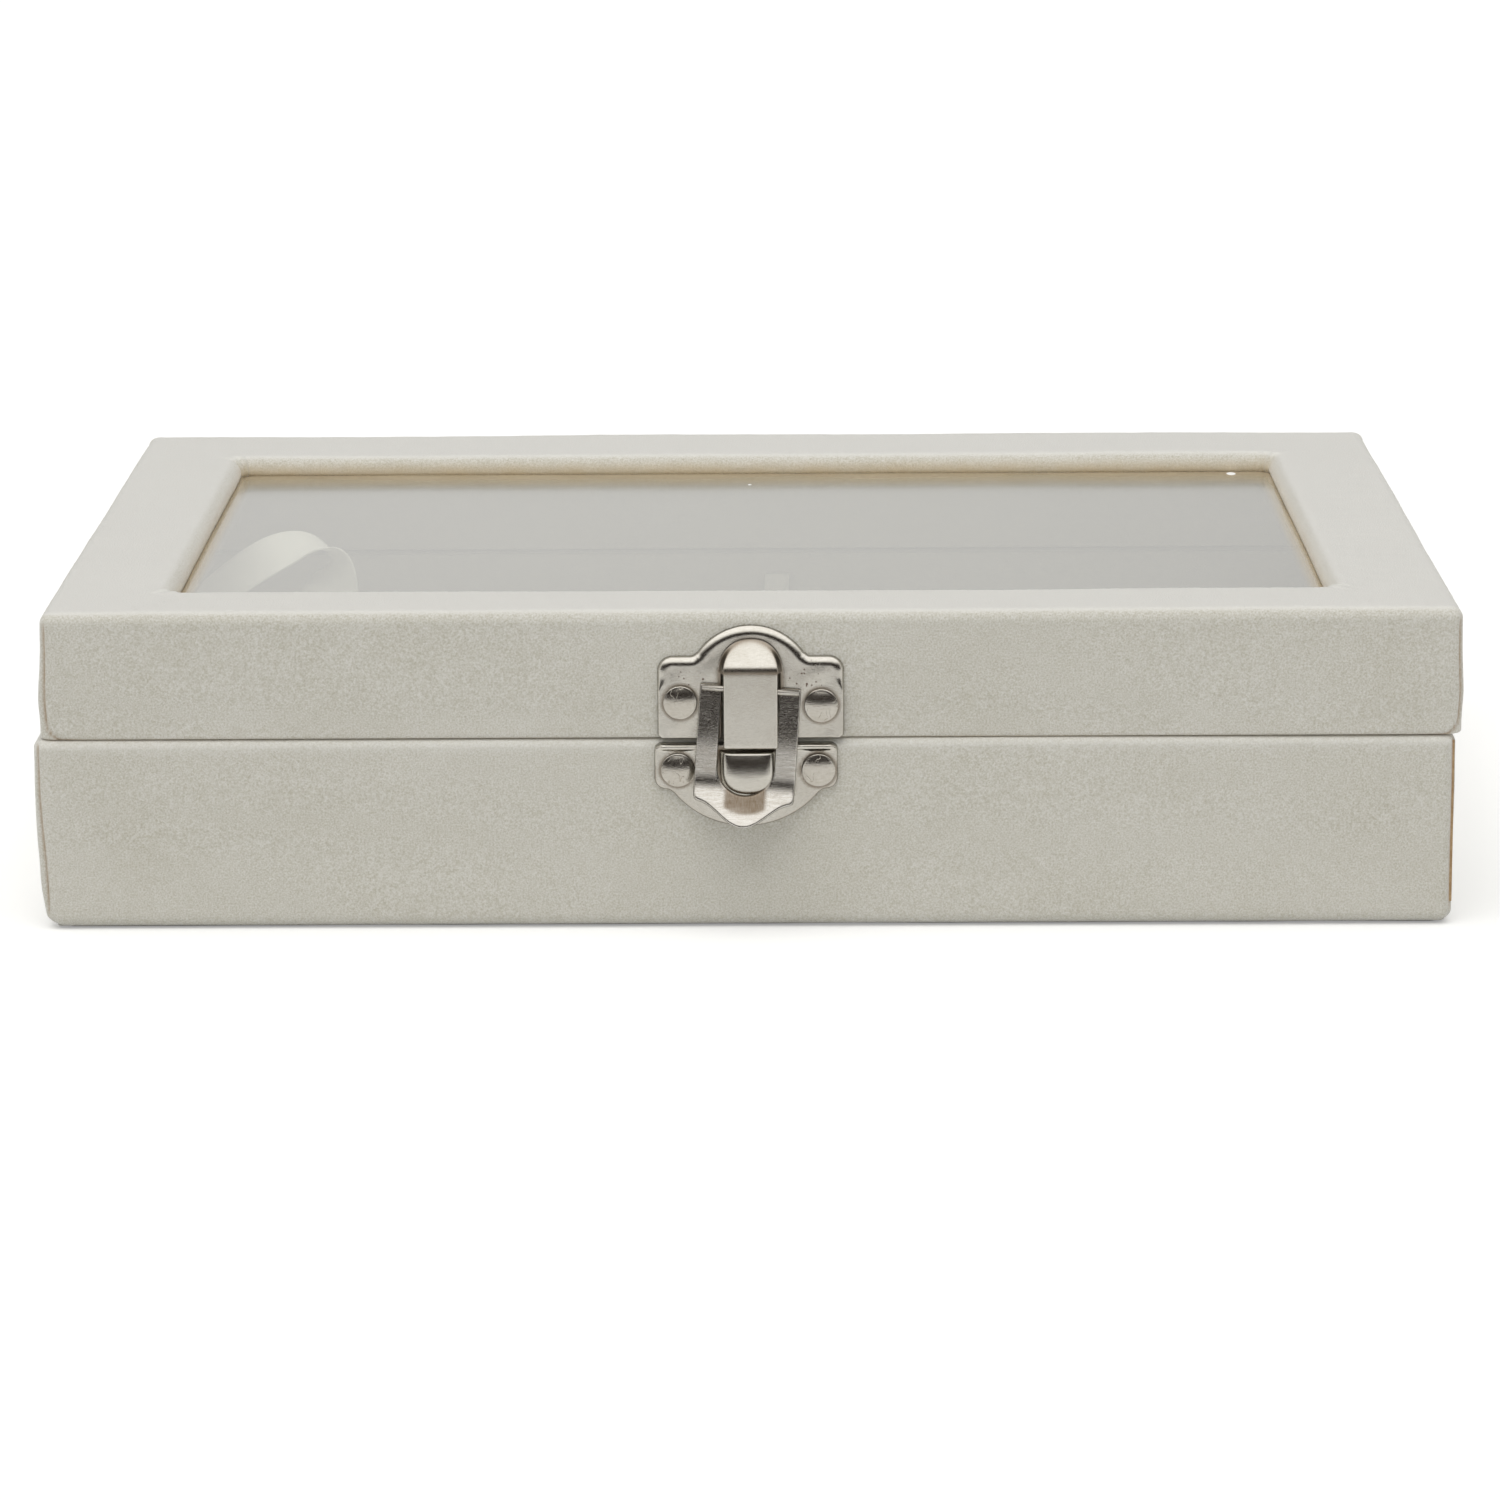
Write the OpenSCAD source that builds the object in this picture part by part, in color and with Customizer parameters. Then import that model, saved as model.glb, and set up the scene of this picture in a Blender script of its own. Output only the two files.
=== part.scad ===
// Ring display box: a velvet-covered base and a hinged lid with a glass window.
// Origin at the centre of the underside, X to the right, -Y towards the latch, Z up.

/* [Box] */
// Width of the shut box from side to side
box_w = 200; // [170:1:240]
// Depth of the shut box from front to back
box_d = 150; // [140:1:180]
// Height of the base with its covering
base_h = 27.4; // [25:0.1:36]
// Height of the lid with its covering
lid_h = 18; // [17.5:0.1:24]
// Gap between the base and the shut lid
lid_gap = 0.4; // [0.3:0.1:0.8]

/* [Boards and coverings] */
// Thickness of the wall boards
wall_t = 6.5; // [5.5:0.1:8]
// Thickness of the floor board
floor_t = 2.5; // [2:0.1:4]
// Thickness of the rails of the lid's top frame
rail_t = 2.2; // [1.8:0.1:3]
// Thickness of the velvet with its glue
velvet_t = 0.8; // [0.6:0.1:1]
// Thickness of the lining strips
lining_t = 0.8; // [0.5:0.1:1.2]
// Thickness of the felt under the floor
felt_t = 0.8; // [0.5:0.1:1.5]
// How far the felt stays back from the sides
felt_margin = 2; // [1:0.5:8]
// Rounding of the upright corners
corner_r = 2; // [1.9:0.1:3]
// Rounding of the lid's upper edges
lid_edge_r = 1.8; // [1.2:0.1:1.8]
// Rounding of the edges of the base and of the lid's rim
rim_edge_r = 1.1; // [0.9:0.1:1.4]

/* [Window] */
// Width of the window's side rails
rail_side = 17; // [12:0.5:24]
// Width of the window's front rail
rail_front = 17.2; // [12:0.1:24]
// Width of the window's rear rail
rail_rear = 22.1; // [14:0.1:28]
// Rounding of the velvet where it rolls into the window
window_edge_r = 2.5; // [1.5:0.1:2.8]
// Rounding of the window's corners at the glass
window_corner_r = 1; // [0.5:0.1:3]
// Thickness of the glass pane
glass_t = 1.4; // [1:0.1:2]
// Play of the pane between the lid's walls
glass_play = 0.3; // [0.2:0.05:0.8]

/* [Ring insert] */
// Thickness of the insert's board
insert_t = 1.2; // [0.8:0.1:2]
// Play of the insert between the lined walls
insert_play = 0.4; // [0.2:0.1:1]
// Free height from the rolls up to the rim of the base
ring_headroom = 9.4; // [9:0.1:12]
// Gap between two rolls, where a ring's band sits
ring_slot = 0.5; // [0.4:0.1:1.5]
// Gap between the rolls' ends and the lined walls
roll_end_gap = 1; // [0.8:0.1:2]
// Space behind the last roll for the pull tab
tab_room = 1.8; // [1.6:0.1:3]
// Width of the pull tab
tab_w = 4.5; // [3:0.5:8]
// Distance of the pull tab from the middle
tab_x = 3.2; // [-40:0.1:40]
// Height of the pull tab above the rolls
tab_rise = 5.9; // [3:0.1:8]
// Thickness of the tab's ribbon
tab_t = 0.5; // [0.3:0.1:0.6]

/* [Stay ribbon] */
// Width of the stay ribbon
ribbon_w = 10; // [6:0.5:12]
// Thickness of the stay ribbon
ribbon_t = 0.4; // [0.3:0.05:0.5]
// Distance of the ribbon's middle from the hinge axis
ribbon_from_hinge = 39.6; // [34:0.1:60]
// Slant of the ribbon across its width
ribbon_slant = 25; // [15:1:30]
// Gap between the ribbon's ends and the lining
ribbon_seat = 0.05; // [0.02:0.01:0.2]

/* [Hinges] */
// Middle of each hinge from the side of the box
hinge_inset = 38; // [25:1:60]
// Length of a hinge along the axis
hinge_w = 16; // [14:0.5:24]
// Height of a hinge leaf measured from the axis
leaf_h = 9.2; // [8.5:0.1:10.5]
// Thickness of a hinge leaf
leaf_t = 0.8; // [0.6:0.1:1]
// Radius of the hinge knuckles
knuckle_r = 1.5; // [1.4:0.05:1.7]
// Gap between a knuckle and the velvet behind it
knuckle_gap = 0.1; // [0.1:0.05:0.3]
// Gap between two knuckles
knuckle_play = 0.2; // [0.1:0.05:0.4]
// Radius of the hinge pin
pin_r = 0.75; // [0.6:0.05:0.8]
// Running clearance around the hinge pin
pin_play = 0.03; // [0.02:0.01:0.05]
// Spacing of a leaf's two nails
leaf_nail_gap = 10; // [8:0.5:11]
// Distance of a leaf's nails from the hinge axis
leaf_nail_z = 5.5; // [5:0.1:6]
// Radius of a hinge nail's head
leaf_head_r = 1.5; // [1:0.1:1.8]
// Radius of a hinge nail's shank
leaf_shank_r = 0.6; // [0.4:0.05:0.7]
// Length of a hinge nail under its head
leaf_nail_l = 5.5; // [4:0.5:6]

/* [Latch plates] */
// Thickness of the latch's sheet metal
sheet_t = 0.5; // [0.4:0.05:0.6]
// How far the pressed plates stand off the velvet
plate_rise = 1.2; // [1:0.05:1.4]
// Width of the lid's plate
lid_plate_w = 25.8; // [24:0.1:28]
// Height of the lid's plate up to its shoulders
lid_plate_h = 11.2; // [10:0.1:12]
// Height of the arch above the shoulders
arch_h = 4.8; // [4.4:0.1:5.4]
// Width of the arch at the shoulders
arch_w = 15.6; // [14:0.1:17]
// Rounding of the lid plate's shoulders
shoulder_r = 2.2; // [1.5:0.1:2.6]
// Distance of the lid plate's lower edge from the rim
lid_plate_lift = 0.1; // [0:0.05:0.4]
// Width of the base's plate
base_plate_w = 25.6; // [24:0.1:28]
// Height of the base's plate at its sides
base_plate_h = 6.7; // [6:0.1:7]
// Radius of the arc under the base's plate
base_arc_r = 11.6; // [10.8:0.1:12]
// Depth of the base's plate in the middle
base_plate_drop = 12.3; // [11.5:0.1:12.8]
// Distance of the base plate's upper edge from the rim
base_plate_sink = 0.3; // [0.1:0.05:0.6]
// Rounding of the base plate's corners
foot_r = 1.6; // [1:0.1:2]
// How far the base's plate was nailed off the middle
base_plate_shift = -0.4; // [-0.6:0.1:0]
// Radius of the bead along the base plate's upper edge
bead_r = 0.45; // [0.3:0.05:0.5]
// Distance between a plate's two nails
plate_nail_gap = 19.8; // [18.5:0.1:20.5]
// Height of the lid plate's nails above its lower edge
lid_nail_z = 4.8; // [4:0.1:6]
// Distance of the base plate's nails from its upper edge
base_nail_z = 3.8; // [3.2:0.1:4.2]
// Radius of a latch nail's domed head
head_r = 2.4; // [2:0.1:2.6]
// Height of a latch nail's domed head
head_h = 0.9; // [0.6:0.1:1.2]
// Radius of a latch nail's shank
shank_r = 0.8; // [0.6:0.05:1]
// Length of a latch nail under its head
nail_l = 6; // [4:0.5:7]
// Clearance around each nail's shank
nail_play = 0.05; // [0.03:0.01:0.1]

/* [Latch tongue, nose and lever] */
// Width of the spring tongue
tongue_w = 7.6; // [7:0.1:7.8]
// How far the tongue's face stands off the velvet
tongue_stand = 3.4; // [3.2:0.05:3.8]
// Length of the tongue below its crease
tongue_l = 11.9; // [11:0.1:12.5]
// Height of the tongue's crease above the plate's lower edge
tongue_crease = 10.6; // [10:0.1:11.2]
// Length of the lip that the tongue's end turns inwards
tongue_lip = 0.9; // [0.6:0.05:1]
// Gap on each side of the tongue in its plate
tongue_slot = 0.6; // [0.4:0.1:0.9]
// Width of the nose
nose_w = 7.6; // [7:0.1:7.8]
// How far the nose stands off its plate
nose_rise = 2.7; // [2.2:0.1:3]
// Distance of the nose's open rim from the plate's upper edge
nose_sink = 1.2; // [1.1:0.1:1.5]
// Height of the nose from its open rim to its foot
nose_h = 5.9; // [5.6:0.1:6.1]
// Width of the lever
lever_w = 14.2; // [13.6:0.1:14.8]
// Width of the lever's window
lever_window_w = 8.6; // [8.5:0.1:9.2]
// Distance of the lever's middle plane from the velvet
lever_stand = 2.15; // [2.1:0.05:2.3]
// Height of the lever's bar above the lid plate's lower edge
bar_z = 7; // [6.6:0.1:7.4]
// Radius of the lever's bar
bar_r = 0.5; // [0.4:0.05:0.5]
// Depth of the window below the bar's middle
window_drop = 15.3; // [15.2:0.1:15.6]
// Length of the flat legs below the bar's middle
leg_l = 13; // [12.5:0.1:13.6]
// Length of the lever from the bar's middle to its tip
lever_l = 19.2; // [18.8:0.1:20]
// Radius of the lever's flare
flare_r = 9; // [7.5:0.5:12]
// Rise of the flare's outline from its tip to its corners
ogee_h = 4.2; // [3:0.1:4.5]
// Sideways lean that the lever's play allows
lever_lean = 3; // [0:0.5:3]

/* [Hidden] */
$fn = 64;
ROLLS = 8;
CORNER_STEPS = 6;
EDGE_STEPS = 6;
SIDES = ["left", "right"];

// A little more than nothing, by which a cut runs past the face it opens
over = 1;

// Planes of the box from the outside in
half_w = box_w / 2;
half_d = box_d / 2;
board_w = half_w - velvet_t;
board_d = half_d - velvet_t;
wall_w = board_w - wall_t;
wall_d = board_d - wall_t;
inner_w = wall_w - lining_t;
inner_d = wall_d - lining_t;

// Levels of the box from the bottom up
floor_top = felt_t + floor_t;
velvet_foot = felt_t / 2;
base_board_top = base_h - velvet_t;
base_lining_top = base_h - 0.2;
parting_z = base_h + lid_gap / 2;
lid_z = base_h + lid_gap;
lid_board_z = lid_z + velvet_t;
lid_lining_z = lid_z + 0.1;
lid_top = lid_z + lid_h;
rail_top = lid_top - velvet_t;
rail_z = rail_top - rail_t;
glass_z = rail_z - glass_t;

// The window in the velvet, and the wider one in the rails
window_front = -half_d + rail_front;
window_rear = half_d - rail_rear;
window_w = half_w - rail_side;

// The ring insert
insert_top = floor_top + insert_t;
roll_top = base_h - ring_headroom;
roll_front = -inner_d + insert_play;
roll_rear = inner_d - tab_room;
roll_pitch = (roll_rear - roll_front) / ROLLS;
roll_w = roll_pitch - ring_slot;

// The hinges and their axis
hinge_x = half_w - hinge_inset;
hinge_y = half_d + knuckle_gap + knuckle_r;
hinge_z = parting_z;
KNUCKLES = 3;
knuckle_l = (hinge_w - (KNUCKLES - 1) * knuckle_play) / KNUCKLES;
leaf_cut = knuckle_r + knuckle_gap + knuckle_play;

// Depths of the latch in front of the velvet
front_y = -half_d;
plate_y = front_y - plate_rise;
tongue_y = front_y - tongue_stand;
lever_y = front_y - lever_stand;
lid_plate_z = lid_z + lid_plate_lift;
base_plate_z = base_h - base_plate_sink;
crease_z = lid_plate_z + tongue_crease;
// The tongue runs a little way up into the dome's wall
tongue_top = crease_z + sheet_t / 4;
shoulder_z = lid_plate_z + lid_plate_h;
pivot_z = lid_plate_z + bar_z;
// Circle through the arch's two feet and its top
arch_r = (arch_w * arch_w / 4 + arch_h * arch_h) / (2 * arch_h);

VELVET = [0.86, 0.85, 0.80];
LINING = [0.80, 0.78, 0.72];
BOARD = [0.72, 0.60, 0.44];
NICKEL = [0.80, 0.79, 0.76];
SATIN = [0.93, 0.92, 0.86];
GLASS = [0.80, 0.88, 0.88, 0.35];

// The ribbon's line in its own slanted plane: x from its glued face, y from the parting line.
// It starts where it is glued to the lid and ends where it is glued to the base.
ribbon_route = [
    [0, 6], [0, 2.5], [0.95, 0], [3.35, -1.6], [6.35, -0.8], [10.55, 3], [13.95, 5.8],
    [16.95, 7.8], [19.95, 8.4], [23.15, 6.8], [25.05, 2.4], [23.75, -3], [19.25, -6.6],
    [12.25, -7.3], [4.75, -7.2], [1.05, -8.2], [0, -10.6], [0, -13.4]
];
RIBBON_STEPS = 4;

// Solid between two corners
module block(low, high) {
    translate(low) cube(high - low);
}

// Outline drawn in X and Z, made thick from y_back towards the front
module facing_front(y_back, thick) {
    translate([0, y_back, 0]) rotate([90, 0, 0]) linear_extrude(thick) children();
}

// Outline drawn in Y and Z, run from x0 to x1
module along_x(x0, x1) {
    translate([x0, 0, 0]) rotate([90, 0, 90]) linear_extrude(x1 - x0) children();
}

// Outline of a rectangle with round corners at height r[4]: [x_half, y_low, y_high, corner_r, z]
function round_ring(r) = [
    for (c = [0:3], j = [0:CORNER_STEPS])
        let (a = 90 * c + 90 * j / CORNER_STEPS,
             x = (c == 0 || c == 3 ? 1 : -1) * (r[0] - r[3]),
             y = c < 2 ? r[2] - r[3] : r[1] + r[3])
        [x + r[3] * cos(a), y + r[3] * sin(a), r[4]]
];

// Solid through a stack of such outlines, from the lowest to the highest
module round_loft(rings) {
    n = 4 * (CORNER_STEPS + 1);
    last = n * (len(rings) - 1);
    walls = [for (k = [0:len(rings) - 2], c = [0:n - 1])
        [n * k + c, n * k + n + c, n * k + n + (c + 1) % n, n * k + (c + 1) % n]];
    polyhedron(
        [for (r = rings) each round_ring(r)],
        concat([[for (c = [0:n - 1]) c]], walls, [[for (c = [n - 1:-1:0]) last + c]])
    );
}

// What is cut away for the window: straight at the glass, rounded out to the top
module window_cut(grow, edge_r, top) {
    function ring(out, z) = [window_w + out, window_front - out, window_rear + out, window_corner_r + out, z];
    round_loft(concat(
        [ring(grow, rail_z - over)],
        [for (i = [0:EDGE_STEPS]) let (a = 90 * i / EDGE_STEPS)
            ring(grow + edge_r * (1 - cos(a)), top - edge_r + edge_r * sin(a))],
        [ring(grow + edge_r, top + over)]
    ));
}

// Box with rounded edges: r0 below, r1 above
module soft_box(z0, z1, r0, r1) {
    function ring(inset, z) = [half_w - inset, inset - half_d, half_d - inset, corner_r - inset, z];
    round_loft(concat(
        [for (i = [0:EDGE_STEPS]) let (a = 90 * i / EDGE_STEPS) ring(r0 * (1 - sin(a)), z0 + r0 * (1 - cos(a)))],
        [for (i = [0:EDGE_STEPS]) let (a = 90 * i / EDGE_STEPS) ring(r1 * (1 - cos(a)), z1 - r1 * (1 - sin(a)))]
    ));
}

// Places of the latch nails in a plate: plate_x is the plate's middle
module at_latch_nails(plate_x, z) {
    for (s = [-1, 1]) {
        translate([plate_x + s * plate_nail_gap / 2, 0, z]) children();
    }
}

module at_lid_latch_nails() {
    at_latch_nails(0, lid_plate_z + lid_nail_z) children();
}

module at_base_latch_nails() {
    at_latch_nails(base_plate_shift, base_plate_z - base_nail_z) children();
}

// Places of the hinge nails: up is 1 on the lid and -1 on the base
module at_hinge_nails(up) {
    for (side = [-1, 1], s = [-1, 1]) {
        translate([side * hinge_x + s * leaf_nail_gap / 2, 0, hinge_z + up * leaf_nail_z]) children();
    }
}

// Hole for a latch nail from the plate back into the wall
module latch_nail_hole() {
    translate([0, plate_y - over, 0]) rotate([-90, 0, 0])
        cylinder(r = shank_r + nail_play, h = nail_l + nail_play + over);
}

// Hole for a hinge nail from the leaf forward into the wall
module hinge_nail_hole() {
    translate([0, half_d + leaf_t + over, 0]) rotate([90, 0, 0])
        cylinder(r = leaf_shank_r + nail_play, h = leaf_nail_l + nail_play + over);
}

// Nail with a domed head, its head's seat at the origin and its shank along -Z
module domed_nail(r, h, shank, length) {
    ball = (r * r + h * h) / (2 * h);
    intersection() {
        translate([0, 0, h - ball]) sphere(ball);
        cylinder(r = r + over, h = h + over);
    }
    translate([0, 0, -length]) cylinder(r = shank, h = length);
}

// Base boards

module base_floor_board() {
    color(BOARD) block([-board_w, -board_d, felt_t], [board_w, board_d, floor_top]);
}

module front_wall_block(z0, z1) {
    block([-board_w, -board_d, z0], [board_w, -wall_d, z1]);
}

module rear_wall_block(z0, z1) {
    block([-board_w, wall_d, z0], [board_w, board_d, z1]);
}

module side_wall_block(side, z0, z1) {
    x0 = side < 0 ? -board_w : wall_w;
    block([x0, -wall_d, z0], [x0 + wall_t, wall_d, z1]);
}

module base_front_wall() {
    color(BOARD) difference() {
        front_wall_block(floor_top, base_board_top);
        at_base_latch_nails() latch_nail_hole();
    }
}

module base_rear_wall() {
    color(BOARD) difference() {
        rear_wall_block(floor_top, base_board_top);
        at_hinge_nails(-1) hinge_nail_hole();
    }
}

module base_left_wall() {
    color(BOARD) side_wall_block(-1, floor_top, base_board_top);
}

module base_right_wall() {
    color(BOARD) side_wall_block(1, floor_top, base_board_top);
}

// Base covering, felt and lining

module base_velvet() {
    color(VELVET) difference() {
        soft_box(0, base_h, rim_edge_r, rim_edge_r);
        block([-half_w - over, -half_d - over, -over], [half_w + over, half_d + over, velvet_foot]);
        block([-board_w, -board_d, -over], [board_w, board_d, base_board_top]);
        block([-wall_w, -wall_d, -over], [wall_w, wall_d, base_h + over]);
        at_base_latch_nails() latch_nail_hole();
        at_hinge_nails(-1) hinge_nail_hole();
    }
}

module underside_felt() {
    color([0.55, 0.53, 0.48])
        block([felt_margin - half_w, felt_margin - half_d, 0],
              [half_w - felt_margin, half_d - felt_margin, felt_t]);
}

module cross_lining(face, z0, z1) {
    y0 = face < 0 ? -wall_d : inner_d;
    color(LINING) block([-wall_w, y0, z0], [wall_w, y0 + lining_t, z1]);
}

module side_lining(side, z0, z1) {
    x0 = side < 0 ? -wall_w : inner_w;
    color(LINING) block([x0, -inner_d, z0], [x0 + lining_t, inner_d, z1]);
}

module base_front_lining() {
    cross_lining(-1, floor_top, base_lining_top);
}

module base_rear_lining() {
    cross_lining(1, floor_top, base_lining_top);
}

module base_left_lining() {
    side_lining(-1, floor_top, base_lining_top);
}

module base_right_lining() {
    side_lining(1, floor_top, base_lining_top);
}

// Ring insert

module insert_board() {
    color(LINING)
        block([insert_play - inner_w, insert_play - inner_d, floor_top],
              [inner_w - insert_play, inner_d - insert_play, insert_top]);
}

// Foam roll with a half-round top, counted from the front
module ring_roll(i) {
    y0 = roll_front + (i - 1) * roll_pitch;
    r = roll_w / 2;
    color(VELVET) along_x(roll_end_gap - inner_w, inner_w - roll_end_gap) {
        translate([y0, insert_top]) square([roll_w, roll_top - r - insert_top]);
        intersection() {
            translate([y0 + r, roll_top - r]) circle(r);
            translate([y0, roll_top - r]) square([roll_w, r]);
        }
    }
}

// Ribbon folded into a loop that stands behind the last roll
module pull_tab() {
    fold_r = (tab_room - insert_play - 0.2) / 2;
    mid_y = inner_d - insert_play / 2 - fold_r - 0.1;
    bend_z = roll_top + tab_rise - fold_r;
    color(SATIN) along_x(tab_x - tab_w / 2, tab_x + tab_w / 2) difference() {
        union() {
            translate([mid_y - fold_r, insert_top]) square([2 * fold_r, bend_z - insert_top]);
            translate([mid_y, bend_z]) circle(fold_r);
        }
        translate([mid_y - fold_r + tab_t, insert_top - over])
            square([2 * (fold_r - tab_t), bend_z - insert_top + over]);
        translate([mid_y, bend_z]) circle(fold_r - tab_t);
    }
}

// Point of a smooth curve through p1 and p2, with p0 and p3 as its neighbours
function spline_point(p0, p1, p2, p3, t) =
    0.5 * (2 * p1 + (p2 - p0) * t + (2 * p0 - 5 * p1 + 4 * p2 - p3) * t * t
           + (3 * p1 - p0 - 3 * p2 + p3) * t * t * t);

// Smooth line through all points of a route
function smooth_line(route, steps) = let (last = len(route) - 1) [
    for (k = [0:last - 1], j = [0:steps - (k == last - 1 ? 0 : 1)])
        spline_point(route[max(k - 1, 0)], route[k], route[k + 1], route[min(k + 2, last)], j / steps)
];

// Unit normal of a line at point k
function line_normal(line, k) = let (
    d = line[min(k + 1, len(line) - 1)] - line[max(k - 1, 0)]
) [-d[1], d[0]] / norm(d);

// Satin band that keeps the lid from falling back, looped inside the shut box
module stay_ribbon() {
    glued = ribbon_seat + ribbon_t / 2;
    line = [for (p = smooth_line(ribbon_route, RIBBON_STEPS)) [glued + max(p[0], 0), p[1]]];
    band = concat(
        [for (k = [0:len(line) - 1]) line[k] + line_normal(line, k) * ribbon_t / 2],
        [for (k = [len(line) - 1:-1:0]) line[k] - line_normal(line, k) * ribbon_t / 2]
    );
    color(SATIN)
        translate([-inner_w, hinge_y - ribbon_from_hinge, hinge_z])
        rotate([ribbon_slant, 0, 0])
        facing_front(ribbon_w / 2, ribbon_w) polygon(band);
}

// Hinges

// Leaf with its knuckles: up is 1 for the lid's leaf and -1 for the base's
module hinge_leaf(side, up) {
    own = up > 0 ? [1] : [0, 2];
    z_near = hinge_z + up * leaf_cut;
    z_far = hinge_z + up * leaf_h;
    x0 = side * hinge_x - hinge_w / 2;
    color(NICKEL) difference() {
        union() {
            block([x0, half_d, min(z_near, z_far)], [x0 + hinge_w, half_d + leaf_t, max(z_near, z_far)]);
            for (k = own) {
                x = x0 + k * (knuckle_l + knuckle_play);
                block([x, half_d, min(hinge_z, z_near)],
                      [x + knuckle_l, half_d + leaf_t, max(hinge_z, z_near)]);
                translate([x, hinge_y, hinge_z]) rotate([0, 90, 0]) cylinder(r = knuckle_r, h = knuckle_l);
            }
        }
        translate([x0 - over, hinge_y, hinge_z]) rotate([0, 90, 0])
            cylinder(r = pin_r + pin_play, h = hinge_w + 2 * over);
        at_hinge_nails(up) hinge_nail_hole();
    }
}

module hinge_pin(side) {
    color(NICKEL) translate([side * hinge_x - hinge_w / 2, hinge_y, hinge_z]) rotate([0, 90, 0])
        cylinder(r = pin_r, h = hinge_w);
}

module hinge_nails(up) {
    color(NICKEL) at_hinge_nails(up) translate([0, half_d + leaf_t, 0]) rotate([-90, 0, 0])
        domed_nail(leaf_head_r, leaf_head_r / 3, leaf_shank_r, leaf_nail_l);
}

module hinge_base_nails() {
    hinge_nails(-1);
}

module hinge_lid_nails() {
    hinge_nails(1);
}

// Lid boards

module lid_front_wall() {
    color(BOARD) difference() {
        front_wall_block(lid_board_z, rail_z);
        at_lid_latch_nails() latch_nail_hole();
    }
}

module lid_rear_wall() {
    color(BOARD) difference() {
        rear_wall_block(lid_board_z, rail_z);
        at_hinge_nails(1) hinge_nail_hole();
    }
}

module lid_left_wall() {
    color(BOARD) side_wall_block(-1, lid_board_z, rail_z);
}

module lid_right_wall() {
    color(BOARD) side_wall_block(1, lid_board_z, rail_z);
}

// Top frame of the lid: long rails front and rear, short ones between them

module lid_rail(low, high) {
    color(BOARD) difference() {
        block(concat(low, rail_z), concat(high, rail_top));
        window_cut(velvet_t, window_edge_r - velvet_t, rail_top);
    }
}

module lid_front_rail() {
    lid_rail([-board_w, -board_d], [board_w, window_front - velvet_t]);
}

module lid_rear_rail() {
    lid_rail([-board_w, window_rear + velvet_t], [board_w, board_d]);
}

module lid_left_rail() {
    lid_rail([-board_w, window_front - velvet_t], [-window_w - velvet_t, window_rear + velvet_t]);
}

module lid_right_rail() {
    lid_rail([window_w + velvet_t, window_front - velvet_t], [board_w, window_rear + velvet_t]);
}

// Lid covering, glass and lining

module lid_velvet() {
    color(VELVET) difference() {
        soft_box(lid_z, lid_top, rim_edge_r, lid_edge_r);
        block([-board_w, -board_d, lid_board_z], [board_w, board_d, rail_z]);
        difference() {
            block([-board_w, -board_d, rail_z - over], [board_w, board_d, rail_top]);
            window_cut(velvet_t, window_edge_r - velvet_t, rail_top);
        }
        block([-wall_w, -wall_d, lid_z - over], [wall_w, wall_d, rail_z]);
        window_cut(0, window_edge_r, lid_top);
        at_lid_latch_nails() latch_nail_hole();
        at_hinge_nails(1) hinge_nail_hole();
    }
}

module glass_pane() {
    color(GLASS)
        block([glass_play - wall_w, glass_play - wall_d, glass_z],
              [wall_w - glass_play, wall_d - glass_play, rail_z]);
}

module lid_front_lining() {
    cross_lining(-1, lid_lining_z, glass_z);
}

module lid_rear_lining() {
    cross_lining(1, lid_lining_z, glass_z);
}

module lid_left_lining() {
    side_lining(-1, lid_lining_z, glass_z);
}

module lid_right_lining() {
    side_lining(1, lid_lining_z, glass_z);
}

// Latch plates

// Lid plate's outline, drawn in by inset
module lid_plate_outline(inset) {
    w = lid_plate_w / 2 - inset;
    r = shoulder_r - inset;
    z0 = lid_plate_z + inset;
    z1 = shoulder_z - inset;
    translate([-w, z0]) square([2 * w, z1 - r - z0]);
    translate([r - w, z0]) square([2 * (w - r), z1 - z0]);
    for (s = [-1, 1]) {
        translate([s * (w - r), z1 - r]) circle(r);
    }
    intersection() {
        translate([0, shoulder_z + arch_h - arch_r]) circle(arch_r - inset);
        translate([-w, z0]) square([2 * w, lid_plate_h + arch_h]);
    }
}

// Base plate's outline, drawn in by inset
module base_plate_outline(inset) {
    w = base_plate_w / 2 - inset;
    r = foot_r - inset;
    z0 = base_plate_z - base_plate_h + inset;
    z1 = base_plate_z - inset;
    translate([-w, z0 + r]) square([2 * w, z1 - r - z0]);
    translate([r - w, z0]) square([2 * (w - r), z1 - z0]);
    for (s = [-1, 1]) {
        translate([s * (w - r), z0 + r]) circle(r);
    }
    intersection() {
        translate([0, base_plate_z - base_plate_drop + base_arc_r]) circle(base_arc_r - inset);
        translate([-w, z1 - base_plate_drop]) square([2 * w, base_plate_drop]);
    }
}

// Quarter of an ellipse beside the plate: reach off it, height along it, up is 1 or -1
function bulge(reach, height, z, up) = concat(
    [[plate_y + sheet_t / 2, z]],
    [for (i = [0:10]) [plate_y - reach * cos(9 * i), z + up * height * sin(9 * i)]],
    [[plate_y + sheet_t / 2, z + up * height]]
);

// Dome over the tongue's root, or the nose, as one full form
module pressed_bump(half, reach, height, z, up) {
    intersection() {
        along_x(-half, half) polygon(bulge(reach, height, z, up));
        facing_front(plate_y + sheet_t / 2, reach + sheet_t) {
            translate([0, z + up * (height - half)]) circle(half);
            translate([-half, min(z - up * over, z + up * (height - half))])
                square([2 * half, height - half + over]);
        }
    }
}

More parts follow.
